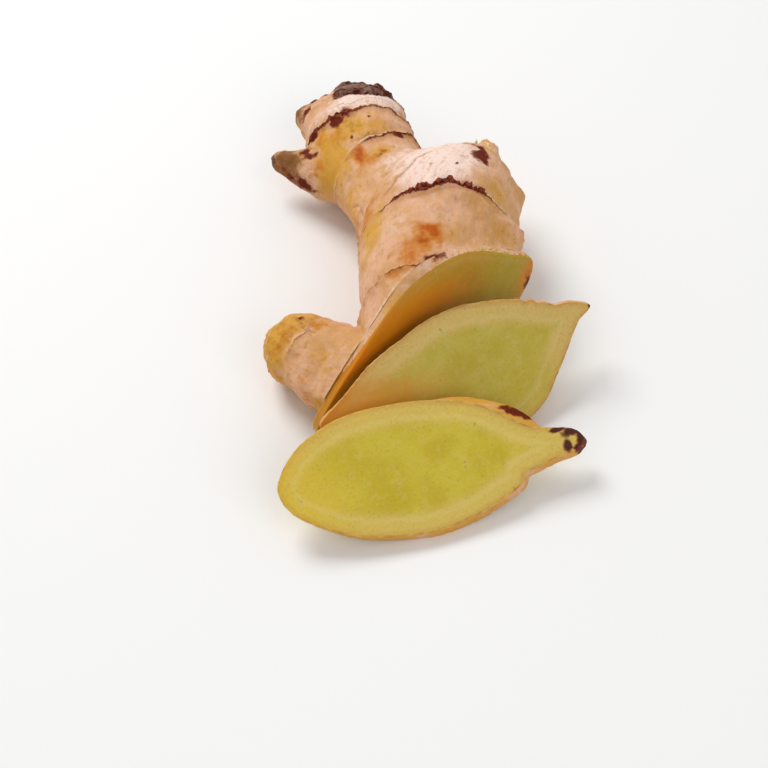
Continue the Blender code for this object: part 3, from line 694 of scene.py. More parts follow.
def placeOnFingers(points):
    # For each point, the finger it lies on: the one with the least distance - radius; then its distance
    # along that finger, its angle round it, and how much nearer it is to it than to the next
    paths = [fingerLine(rootShape[name], 160) for name in fingerNames]
    gaps, alongs, angles, radii = [], [], [], []
    for path in paths:
        nearest = squareDistances(points, path["centre"]).argmin(axis=1)
        away = points - path["centre"][nearest]
        s = path["along"][nearest] + (away * path["tangent"][nearest]).sum(axis=1)
        x = (away * path["side"][nearest]).sum(axis=1)
        y = (away * path["up"][nearest]).sum(axis=1)
        angle = np.arctan2(y / path["height"][nearest], x / path["width"][nearest])
        radius = np.hypot(path["width"][nearest] * np.cos(angle), path["height"][nearest] * np.sin(angle))
        gaps.append(np.linalg.norm(away, axis=1) - radius)
        alongs.append(s)
        angles.append(angle)
        radii.append((path["width"] + path["height"])[nearest] / 2)
    gaps = np.array(gaps)
    order = np.argsort(gaps, axis=0)
    pick = np.arange(len(points))
    owner = order[0]
    apart = gaps[order[1], pick] - gaps[owner, pick]
    return (owner, np.array(alongs)[owner, pick] / mm, np.array(angles)[owner, pick],
            np.array(radii)[owner, pick] / mm, apart / mm)


# Where the skin is marked: finger, mm along it, degrees round it, mm along and round, kind, strength.
skinMarks = [
    ("trunk", 45.6, 95, 2.4, 2.2, "orange", 1.75), ("trunk", 44.0, 103, 4.6, 2.6, "orange", 1.15),
    ("trunk", 41.4, 113, 3.4, 3.2, "orange", 1.05), ("trunk", 37.6, 124, 1.4, 5.4, "orange", 1.05),
    ("trunk", 58.0, 166, 4.4, 4.0, "orange", 0.95), ("trunk", 52.0, 150, 6.0, 4.2, "ochre", 0.80),
    # The broad ochre at 20 to 60 degrees round the trunk, its right side away from the lamp, is partly the
    # skin's own yellow-tan and partly painted shade.
    ("trunk", 46.0, 160, 4.5, 4.0, "ochre", 0.55), ("trunk", 45.0, 60, 8.0, 9.0, "ochre", 0.42),
    ("trunk", 66.0, 45, 7.0, 7.0, "ochre", 0.52), ("trunk", 52.0, 20, 10.0, 8.0, "ochre", 0.50),
    ("trunk", 39.3, 93, 1.1, 2.8, "dark", 1.5), ("trunk", 71.8, 79, 1.7, 1.8, "dark", 1.7),
    ("trunk", 74.0, 80, 1.4, 1.0, "dark", 1.0), ("trunk", 75.4, 85, 1.1, 0.9, "dark", 1.1),
    ("trunk", 75.0, 97, 0.8, 2.4, "dark", 0.62), ("trunk", 78.0, 70, 2.4, 2.4, "ochre", 1.2),
    ("trunk", 65.5, 88, 0.45, 0.35, "dark", 1.1), ("trunk", 60.5, 20, 3.4, 0.8, "dark", 0.50),
    # The strong pale mark on the hump's top is a painted highlight where it faces the lamp, over paler skin.
    ("trunk", 66.5, 106, 9.0, 8.5, "pale", 1.30), ("trunk", 50.5, 88, 4.5, 10.0, "pale", 0.30),
    ("trunk", 49.0, 128, 5.0, 5.0, "pale", 0.35), ("trunk", 56.6, 96, 0.9, 9.0, "brown", 0.30),
    ("upper", 31.6, 117, 3.2, 1.8, "orange", 1.75), ("upper", 28.8, 106, 2.4, 2.8, "orange", 0.80),
    ("upper", 29.4, 100, 1.8, 2.2, "dark", 0.42), ("upper", 30.0, 92, 2.0, 3.0, "ochre", 0.9),
    ("upper", 42.9, 85, 0.5, 0.45, "dark", 1.1), ("upper", 37.9, 112, 0.4, 0.35, "dark", 0.9),
    ("upper", 41.0, 106, 4.5, 7.0, "ochre", 0.75), ("upper", 38.0, 152, 6.5, 4.2, "ochre", 1.80),
    ("upper", 36.6, 92, 1.3, 3.6, "brown", 0.62), ("upper", 36.4, 60, 1.0, 1.6, "dark", 0.85),
    ("upper", 43.0, 150, 2.2, 3.0, "orange", 0.75), ("upper", 42.0, 112, 3.0, 3.5, "rough", 0.8),
    ("upper", 41.5, 128, 2.0, 2.6, "orange", 0.5), ("upper", 46.4, 108, 1.6, 1.5, "dark", 1.5),
    ("upper", 45.0, 121, 1.4, 1.5, "dark", 1.35), ("upper", 46.6, 154, 1.1, 1.2, "dark", 1.0),
    # The strong pale mark near the upper finger's end is a painted highlight where it faces the lamp, over
    # paler skin.
    ("upper", 44.6, 166, 2.2, 1.2, "dark", 0.75), ("upper", 49.6, 78, 2.6, 10.0, "pale", 1.25),
    ("upper", 50.2, 140, 2.6, 6.0, "pale", 0.45), ("upper", 22.0, 66, 9.0, 9.0, "pale", 0.75),
    ("upper", 24.0, 160, 7.0, 6.0, "ochre", 0.55), ("upper", 20.0, -170, 3.0, 4.0, "orange", 0.7),
    ("leftBud", 2.4, 140, 3.0, 4.0, "ochre", 1.3), ("leftBud", 8.2, 104, 2.4, 1.4, "dark", 0.85),
    ("leftBud", 10.4, 88, 1.5, 1.3, "dark", 0.80), ("leftBud", 5.0, 128, 1.8, 1.6, "orange", 0.7),
    ("leftBud", 8.6, -166, 3.0, 1.3, "dark", 0.95), ("leftBud", 13.0, -168, 2.6, 1.1, "dark", 0.75),
    ("leftBud", 14.0, 150, 5.4, 8.0, "brown", 1.00), ("leftBud", 13.0, -140, 7.0, 6.0, "brown", 1.15),
    ("leftBud", 13.5, 120, 4.6, 6.0, "rough", 0.7), ("leftBud", 13.2, -176, 3.2, 1.0, "dark", 0.55),
    ("leftBud", 18.6, 100, 1.8, 4.0, "dried", 1.0),
    ("leftBud", 18.8, 120, 1.4, 3.0, "dark", 1.2), ("brownBud", 6.0, 120, 0.8, 4.0, "dark", 0.75),
    ("brownBud", 9.5, 120, 3.4, 7.0, "brown", 1.00), ("humpBud", 8.5, 100, 3.2, 3.0, "ochre", 0.9),
    ("branch", 34.5, 120, 6.8, 14.0, "ochre", 0.95), ("branch", 31.5, 120, 2.6, 4.0, "orange", 0.55),
    ("branch", 27.0, 80, 2.4, 1.6, "orange", 0.75), ("branch", 23.0, -175, 6.5, 5.0, "orange", 0.30),
    ("branch", 34.0, 110, 6.5, 11.0, "rough", 0.55), ("branch", 27.5, 78, 6.0, 2.2, "rough", 0.9),
    ("branch", 18.0, -160, 3.4, 4.4, "ochre", 1.00), ("branch", 25.0, 76, 0.7, 0.7, "orange", 1.5),
    ("branch", 31.0, 74, 1.2, 0.6, "dark", 0.60), ("branch", 26.8, 96, 1.3, 1.0, "brown", 0.70),
    ("branch", 30.6, 116, 1.6, 1.8, "brown", 0.55), ("branch", 29.0, 132, 2.4, 1.0, "brown", 0.50),
    ("branch", 19.0, 128, 8.0, 8.0, "ochre", 0.42), ("branch", 13.0, 110, 3.4, 6.0, "ochre", 0.62),
    ("rearBud", 12.0, 90, 3.0, 5.0, "ochre", 0.9), ("rearBud", 14.0, 90, 1.6, 3.0, "dark", 0.9),
]
# How strong each leaf scar is, for each finger's rings in turn: degrees round and the strength there.
scarTones = dict(
    trunk=[[(-180, 0.26), (-90, 0.28), (40, 0.2), (80, 0.4), (95, 0.95), (110, 0.5), (140, 0.36)],
           [(-180, 0.32), (-90, 0.32), (0, 0.12), (35, 0.3), (52, 0.5), (62, 1.0), (80, 1.2), (105, 1.15),
            (122, 0.80), (132, 0.42), (150, 0.30), (165, 0.36)],
           [(-180, 0.25), (-60, 0.3), (10, 0.6), (40, 0.4), (80, 0.1), (140, 0.1)]],
    upper=[[(-180, 0.3), (-90, 0.4), (20, 0.5), (55, 0.85), (75, 0.55), (95, 0.68), (108, 0.36), (124, 0.22),
            (150, 0.2)],
           [(-180, 0.7), (-90, 0.5), (20, 0.55), (70, 0.42), (94, 0.5), (105, 1.2), (125, 1.05), (136, 0.6),
            (150, 0.85), (168, 0.9)],
           [(-180, 0.25), (-90, 0.4), (-20, 0.6), (60, 0.5), (105, 0.45), (128, 0.22), (150, 0.32)]],
    branch=[[(-180, 0.12), (0, 0.1), (90, 0.12)],
            [(-180, 0.16), (0, 0.2), (90, 0.25), (105, 0.36), (130, 0.22), (150, 0.14)],
            [(-180, 0.3), (0, 0.3), (90, 0.15)]])
driedCrown = dict(  # mm along the finger, degrees round it
    edge=53.2, slant=2.4, highAt=95, wave=0.6, dip=1.8, dipAt=12, dipWide=0.25, soft=2.4, faces=40,
    halfRound=90, sideSoft=25, end=57.0, endSoft=0.8)
# Folds and cracks in the skin, sunk and painted darker brown as painted shade in the folds: finger, its
# points as mm along and degrees round, half width in mm, depth.
creases = [
    ("trunk", [(67.5, 117), (62.9, 127), (60.1, 136), (58.6, 142)], 0.45, 1.0),
    ("trunk", [(64.5, 104), (59.4, 111), (57.6, 113)], 0.35, 0.6),
    ("trunk", [(68.2, 99), (63.8, 99), (60.2, 101)], 0.35, 0.5),
    ("trunk", [(71.5, 112), (67.0, 113), (62.4, 119)], 0.35, 0.5),
    ("trunk", [(70.0, 86), (66.8, 84), (63.5, 88)], 0.35, 0.35),
    ("trunk", [(49.5, 112), (47.4, 92), (47.8, 74)], 0.35, 0.35),
    ("upper", [(22.5, 158), (20.5, 150), (17.5, 152)], 0.45, 0.8),
    ("upper", [(26.0, 88), (21.0, 92), (15.0, 100)], 0.35, 0.4),
    ("branch", [(32.5, 72), (30.6, 80), (28.0, 92), (25.2, 96)], 0.32, 0.8),
    ("branch", [(30.8, 110), (32.0, 120), (31.0, 132)], 0.32, 0.8),
    ("branch", [(21.0, 120), (16.5, 128)], 0.3, 0.4),
]
# Places that stand out or fall back: finger, mm along, degrees round, reach and height in mm.
skinBumps = [("trunk", 75.0, 10, 2.4, 0.9), ("trunk", 80.5, 34, 5.5, -1.2), ("trunk", 63.0, 8, 3.0, -0.6)]


noScar = 50.0  # mm past a scar, where there is none
scarReach, scarSoft = 5.5, 2  # mm from a scar to where it has gone, and how softly it goes
markMoves = dict(size=2.0, along=51, aside=61, far=0.8, dark=0.35)  # noise that moves marks: size, seeds
creaseMoves = dict(size=1.4, along=(0.35, 81), aside=(1.6, 91))  # mm or degrees, seed


def pastScar(owner, s, angle):  # mm past the nearest scar of the point's own finger, and that scar's strength
    past = np.full(len(s), noScar)
    strength = np.zeros(len(s))
    for name in scarTones:
        for ring, (place, tilt, _) in enumerate(rootShape[name]["rings"]):
            away = s - (place + tilt * np.cos(angle) + ringWobble(angle, place))
            nearer = (owner == fingerNames.index(name)) & (np.abs(away) < np.abs(past))
            past = np.where(nearer, away, past)
            strength = np.where(nearer, scarTone(name, ring, angle), strength)
    return past, strength * ease((scarReach - np.abs(past)) / scarSoft)


def creaseDepth(points, owner, s, angle, radius):
    # exp(-(distance / half width)^2) from each line of points on the unrolled finger, wandering with noise
    depth = np.zeros(len(s))
    flat = np.stack([s, np.degrees(angle)], axis=1)
    flat += np.stack([far * cloud(points / mm, creaseMoves["size"], seed)
                      for far, seed in (creaseMoves["along"], creaseMoves["aside"])], axis=1)
    for name, line, wide, strength in creases:
        scale = np.stack([np.ones(len(s)), np.radians(1) * radius], axis=1)
        here = owner == fingerNames.index(name)
        nearest = np.full(len(s), 99.0)
        for start, stop in zip(line[:-1], line[1:]):
            start, stop = np.array(start, float), np.array(stop, float)
            along, away = (stop - start) * scale, (flat - start) * scale
            share = np.clip((along * away).sum(axis=1) / (along ** 2).sum(axis=1), 0, 1)
            nearest = np.minimum(nearest, np.linalg.norm(away - share[:, None] * along, axis=1))
        depth = np.maximum(depth, np.where(here, strength * np.exp(-(nearest / wide) ** 2), 0))
    return depth


def markTones(points, owner, s, angle, radius):
    # The strongest mark of each kind, each exp(-(along^2 + round^2)), read at a place that noise has moved
    tones = {kind: np.zeros(len(s))
             for kind in ("orange", "ochre", "pale", "dark", "dried", "brown", "rough")}
    tones["crease"] = creaseDepth(points, owner, s, angle, radius)
    onward, sideways = (cloud(points / mm, markMoves["size"], markMoves[key]) for key in ("along", "aside"))
    for name, place, degrees, length, width, kind, strength in skinMarks:
        wander = markMoves.get(kind, markMoves["far"])
        along = s + wander * onward - place
        away = np.angle(np.exp(1j * (angle - radians(degrees)))) * radius + wander * sideways
        height = strength * np.exp(-(along / length) ** 2 - (away / width) ** 2)
        tones[kind] = np.maximum(tones[kind], np.where(owner == fingerNames.index(name), height, 0))
    # The crown is dried past an edge that slants, waves and dips, on the side that it faces, and all round
    # at its very end.
    turned = angle - radians(driedCrown["highAt"])
    edge = driedCrown["edge"] - driedCrown["slant"] * np.cos(turned) + driedCrown["wave"] * np.sin(4 * angle)
    edge -= driedCrown["dip"] * np.exp(-((angle - radians(driedCrown["dipAt"])) / driedCrown["dipWide"]) ** 2)
    aside = np.abs(np.angle(np.exp(1j * (angle - radians(driedCrown["faces"])))))
    crown = ease((s - edge) / driedCrown["soft"] + 0.5)
    crown = crown * ease((radians(driedCrown["halfRound"]) - aside) / radians(driedCrown["sideSoft"]))
    crown = np.maximum(crown, ease((s - driedCrown["end"]) / driedCrown["endSoft"]))
    crown = np.where(owner == fingerNames.index("upper"), crown, 0)
    tones["dried"] = np.maximum(tones["dried"], crown)
    return tones


def cutCap(rim):
    # The rim's points in order round its middle, drawn in row by row to the middle
    _, along, slope, _ = sliceFrame(sliceInner)
    middle = rim.mean(axis=0)
    turn = np.arctan2((rim - middle) @ slope, (rim - middle) @ along)
    order = np.argsort(turn)
    share = np.linspace(1, 0, rootRelief["capRows"])[1:-1] ** rootRelief["capShape"]
    rows = middle + share[:, None, None] * (rim[order] - middle)
    return order, rows, middle


def ridges(points, size, seed):  # 1 - 2 |noise|: sharp-edged folds
    return 1 - 2 * np.abs(noise(points, size, seed))


def plates(points, size, seed):  # the cloud's upper half, steep at its edge: flat flakes
    return ease(cloud(points, size, seed) * 3)


def makeRoot():
    reaches = [rootRelief["fillet"] * mm] * 3 + [rootRelief["budFillet"] * mm] * 4
    tubes = [fingerTube(name) for name in fingerNames]
    verts, faces = [], []
    for points in growTogether(tubes, reaches):
        tube, quads = closedTube(points, sum(len(v) for v in verts))
        verts.append(tube)
        faces += quads
    fused = newPiece("fused", np.concatenate(verts), faces, [peel])
    remesh = fused.modifiers.new("fuse", "REMESH")
    remesh.mode = "VOXEL"
    remesh.voxel_size = rootRelief["voxel"] * mm
    applyModifiers(fused)
    smooth = fused.modifiers.new("smooth", "SMOOTH")
    smooth.factor = rootRelief["smoothing"]
    smooth.iterations = rootRelief["smoothTimes"]
    applyModifiers(fused)
    points = meetSlice(pointsOf(fused.data))
    fused.data.vertices.foreach_set("co", points.ravel())
    fused.data.update()
    normals = np.zeros(len(points) * 3)
    fused.data.vertex_normals.foreach_get("vector", normals)
    normals = normals.reshape(-1, 3)

    for name, place, degrees, reach, height in skinBumps:
        path = fingerLine(rootShape[name])
        centre, side, up = (np.array([np.interp(place * mm, path["along"], c) for c in path[key].T])
                            for key in ("centre", "side", "up"))
        wide, high = (np.interp(place * mm, path["along"], path[key]) for key in ("width", "height"))
        centre = centre + cos(radians(degrees)) * wide * side + sin(radians(degrees)) * high * up
        near = np.exp(-((points - centre) ** 2).sum(axis=1) / (reach * mm) ** 2)
        points = points + normals * (near * height * mm)[:, None]

    # Fine relief: lumps, wrinkles that run along the finger, folds where fingers part, torn lips and crumbs.
    # It sinks by a little and comes to nothing at the cut.
    owner, s, angle, radius, apart = placeOnFingers(points)
    grain = np.stack([radius * np.cos(angle), radius * np.sin(angle), s], axis=1)
    past, strength = pastScar(owner, s, angle)
    tones = markTones(points, owner, s, angle, radius)
    settled = ease(apart / rootRelief["settle"])
    nearBorder = ease(1 - apart / rootRelief["borderFar"]) * ease(apart / rootRelief["borderNear"])
    relief = -rootRelief["creases"] * tones["crease"]
    lip = np.exp(-(past / rootRelief["lipWide"]) ** 2) * np.clip(strength, 0, rootRelief["lipMost"])
    for name, where, strong, form in (  # the grain is stretched along the finger
            ("lumps", points / mm, 1, cloud), ("grit", points / mm, 1, cloud),
            ("wrinkles", grain * (1, 1, 0.16), settled, cloud),
            ("folds", grain * (1, 1, 0.22), nearBorder, ridges),
            ("flakes", points / mm, settled, plates),
            ("driedCrumbs", grain * (1, 1, 0.4), np.clip(tones["dried"], 0, 1), cloud),
            ("crumbs", points / mm, np.clip(tones["rough"], 0, 1), cloud),
            ("tornLip", grain * (1, 1, 0.3), lip, cloud)):
        height, wide, seed = rootRelief[name]
        relief += height * strong * form(where, wide, seed)
    relief += rootRelief["tornLip"][0] * lip
    foot, along, slope, outward = sliceFrame(sliceInner)
    cutPoint = foot - outward * (sliceInner["thick"] + rootRelief["gap"]) * mm
    fromCut = (cutPoint - points) @ outward / mm
    relief = (relief - rootRelief["sunk"]) * ease(fromCut / rootRelief["cutFade"])
    points = points + normals * relief[:, None] * mm
    fused.data.vertices.foreach_set("co", points.ravel())
    fused.data.update()

    # Cut it off flat at the table and along the inner slice's back.
    mesh = bmesh.new()
    mesh.from_mesh(fused.data)
    for point, normal in (((0, 0, 0), (0, 0, -1)), (cutPoint, outward)):
        geometry = mesh.verts[:] + mesh.edges[:] + mesh.faces[:]
        cut = bmesh.ops.bisect_plane(mesh, geom=geometry, dist=1e-7, plane_co=point, plane_no=normal,
                                     clear_outer=True)
        if normal is not outward:
            rim = [e for e in cut["geom_cut"] if isinstance(e, bmesh.types.BMEdge)]
            bmesh.ops.contextual_create(mesh, geom=rim)
    mesh.verts.index_update()
    rimVerts = sorted({v.index for e in mesh.edges if e.is_boundary for v in e.verts})
    bmesh.ops.triangulate(mesh, faces=mesh.faces[:])
    mesh.to_mesh(fused.data)
    mesh.free()
    points = pointsOf(fused.data)
    skinFaces = np.zeros(len(fused.data.polygons) * 3, np.int32)
    fused.data.polygons.foreach_get("vertices", skinFaces)
    skinFaces = skinFaces.reshape(-1, 3)
    bpy.data.objects.remove(fused)

    rim = np.array(rimVerts)
    order, rows, middle = cutCap(points[rim])
    rim = rim[order]
    first, columns = len(points), len(rim)
    inner = gridFaces(len(rows), columns, first)
    edge = np.stack([rim, first + np.arange(columns), np.roll(first + np.arange(columns), -1),
                     np.roll(rim, -1)], axis=1)
    last = first + (len(rows) - 1) * columns + np.arange(columns)
    hub = np.stack([np.full(columns, first + rows.shape[0] * columns), np.roll(last, -1), last], axis=1)
    verts = np.concatenate([points, rows.reshape(-1, 3), middle[None]])
    faces = skinFaces.tolist() + edge.tolist() + inner.tolist() + hub.tolist()
    kinds = [0] * len(skinFaces) + [1] * (len(edge) + len(inner) + len(hub))
    piece = newPiece("ginger_root", verts - shift, faces, [peel, fleshInner], kinds)

    owner, s, angle, radius, apart = placeOnFingers(verts)
    past, strength = pastScar(owner, s, angle)
    grain = np.stack([radius * np.cos(angle), radius * np.sin(angle), s], axis=1)
    setTone(piece, "grain", grain)
    setTone(piece, "scar", past)
    setTone(piece, "scarTone", strength * ease(apart / 0.8))
    tones = markTones(verts, owner, s, angle, radius)
    fromCut = (cutPoint - verts) @ outward / mm
    paleRim = rootRelief["paleCut"] * np.exp(-(fromCut / rootRelief["paleWide"]) ** 2)
    tones["pale"] = np.maximum(tones["pale"], paleRim)
    for kind, tone in tones.items():
        setTone(piece, kind, tone)
    inset = np.sqrt(squareDistances(verts[first:], points[rim]).min(axis=1))
    setTone(piece, "inset", np.concatenate([np.zeros(first), inset / mm + 1.4]))
    setTone(piece, "cortex", np.full(len(verts), sliceInner["cortex"]))
    setTone(piece, "flat", np.stack([(verts - foot) @ along, (verts - foot) @ slope,
                                     np.zeros(len(verts))], axis=1) / mm)
    return piece


root = makeRoot()
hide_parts("rhizome")
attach(root, "root")
print("root made:", len(root.data.polygons), "faces")


# Torn leaf scales: what is left of the leaves that grew at the scars. tall is the tallest tooth, share how
# much of the rim has teeth, lift how far they stand off in degrees, straw how pale they are.
tornScales = [
    dict(finger="trunk", ring=1, along=58.3, tilt=5.0, tall=1.9, share=0.75, lift=22, straw=0.0, seed=3),
    dict(finger="trunk", ring=0, along=39.2, tilt=3.6, tall=1.2, share=0.60, lift=18, straw=0.1, seed=5),
    dict(finger="upper", ring=0, along=35.3, tilt=3.0, tall=1.0, share=0.60, lift=18, straw=0.0, seed=7),
    dict(finger="upper", ring=1, along=45.9, tilt=-0.5, tall=1.5, share=0.60, lift=24, straw=0.0, seed=8),
    dict(finger="upper", ring=2, along=53.6, tilt=-0.8, tall=3.0, share=0.85, lift=26, straw=0.0, seed=11),
    dict(finger="humpBud", ring=None, along=7.6, tilt=0.0, tall=2.8, share=0.95, lift=16, straw=1.0, seed=14,
         window=[(-180, 0), (40, 0), (80, 1.0), (140, 1.0), (170, 0)]),
    dict(finger="branch", ring=1, along=27.7, tilt=-0.5, tall=1.1, share=0.5, lift=14, straw=0.9, seed=15),
]
scaleShape = dict(columns=640, thin=0.12, tooth=1.0, sunk=0.35, sunkMore=1.5, toothShape=0.7, mostReach=1.22,
                  fade=0.05, weakest=0.3, gain=1.4, most=1.2, lowLift=0.6, liftMore=0.8, liftSize=2.6)


def makeScales():
    tree = BVHTree.FromObject(root, bpy.context.evaluated_depsgraph_get())
    verts, faces, straws = [], [], []
    angle = np.linspace(0, 2 * pi, scaleShape["columns"], endpoint=False)
    for torn in tornScales:
        path = fingerLine(rootShape[torn["finger"]])
        s = (torn["along"] + torn["tilt"] * np.cos(angle) + ringWobble(angle, torn["along"])) * mm

        def read(values):
            return np.stack([np.interp(s, path["along"], column) for column in values.T], axis=1)

        centre, tangent = read(path["centre"]) - shift, unit(read(path["tangent"]))
        side = unit(np.cross(tangent, (0, 0, 1)))
        up = np.cross(side, tangent)
        width, height = (np.interp(s, path["along"], path[name])[:, None] for name in ("width", "height"))
        out = unit(np.cos(angle)[:, None] * width * side + np.sin(angle)[:, None] * height * up)
        hits = [tree.ray_cast(Vector(c), Vector(d)) for c, d in zip(centre, out)]
        reach = np.array([hit[3] if hit[0] is not None else 0.0 for hit in hits])
        own = np.hypot(width[:, 0] * np.cos(angle), height[:, 0] * np.sin(angle))
        clear = ease((own * scaleShape["mostReach"] - reach) / (scaleShape["fade"] * own))
        reach = np.minimum(reach, own * scaleShape["mostReach"])
        skin = centre + out * reach[:, None]
        skin = (np.roll(skin, 1, axis=0) + 2 * skin + np.roll(skin, -1, axis=0)) / 4

        around = np.stack([np.cos(angle), np.sin(angle), 0 * angle], axis=1) * own.mean() / mm
        jag = cloud(around, scaleShape["tooth"], torn["seed"]) / 1.75 * 0.5 + 0.5
        if torn["ring"] is None:
            degrees, values = np.array(torn["window"]).T
            strength = np.interp(np.degrees(angle), degrees, values, period=360)
        else:
            strength = scarTone(torn["finger"], torn["ring"], angle)
        tooth = np.clip((jag - (1 - torn["share"])) / torn["share"], 0, 1) ** scaleShape["toothShape"]
        strength = np.clip((strength - scaleShape["weakest"]) * scaleShape["gain"], 0, scaleShape["most"])
        tall = torn["tall"] * mm * tooth * strength * clear
        waves = scaleShape["liftMore"] * cloud(around, scaleShape["liftSize"], torn["seed"] + 40, 2)
        lift = radians(torn["lift"]) * (scaleShape["lowLift"] + waves)
        sunk = scaleShape["sunk"] * mm
        thin = scaleShape["thin"] * mm
        base = skin - out * (sunk + scaleShape["sunkMore"] * mm * (1 - clear))[:, None]
        rows = []
        for share, thickness in ((0, 1), (0.4, 1), (0.8, 0.8), (1.0, 0.3), (1.0, -0.3), (0.8, -0.8),
                                 (0.4, -1), (0, -1)):
            reachOut = np.sin(lift * (0.6 + 0.4 * share)) * share * tall
            rows.append(base + tangent * (np.cos(lift) * share * tall)[:, None]
                        + out * (reachOut + sunk * min(1, share * 3) * (tall > 0.05 * mm)
                                 + thickness * thin / 2)[:, None])
        faces.append(gridFaces(8, scaleShape["columns"], sum(len(v) for v in verts), closedRows=True))
        verts.append(np.concatenate(rows))
        straws.append(np.full(8 * scaleShape["columns"], torn["straw"]))
    verts = np.concatenate(verts)
    verts[:, 2] = np.maximum(verts[:, 2], 0.02 * mm)  # none is pushed through the table
    piece = newPiece("torn_leaf_scales", verts, np.concatenate(faces), [driedScale], sharp=70)
    setTone(piece, "straw", np.concatenate(straws))
    return piece


scales = makeScales()
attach(scales, "root")
print("torn scales made:", len(scales.data.polygons), "faces")


sliceGrid = dict(columns=360, faceRows=38, faceShape=1.6, bevelRows=6, sideRows=8, raggedSize=1.6,
                 waves=(0.06, 3.5), grit=(0.025, 0.9), stele=0.06, steleSoft=0.8, faceSoft=0.6,
                 ochrePatches=(0.5, 5.0), amberReach=6.0, amberPoints=200, apart=31.0)
slices = dict(inner=sliceInner, middle=sliceMiddle, front=sliceFront)


def upperEdge(rows, outline, upper, below=0.0):  # a value for each u on the upper edge, evened along it
    u, values = np.array(rows, float).T
    along = np.where(upper, np.interp(outline[:, 0] / mm, u, values), below)
    for _ in range(4):
        along = (np.roll(along, 1) + 2 * along + np.roll(along, -1)) / 4
    return along


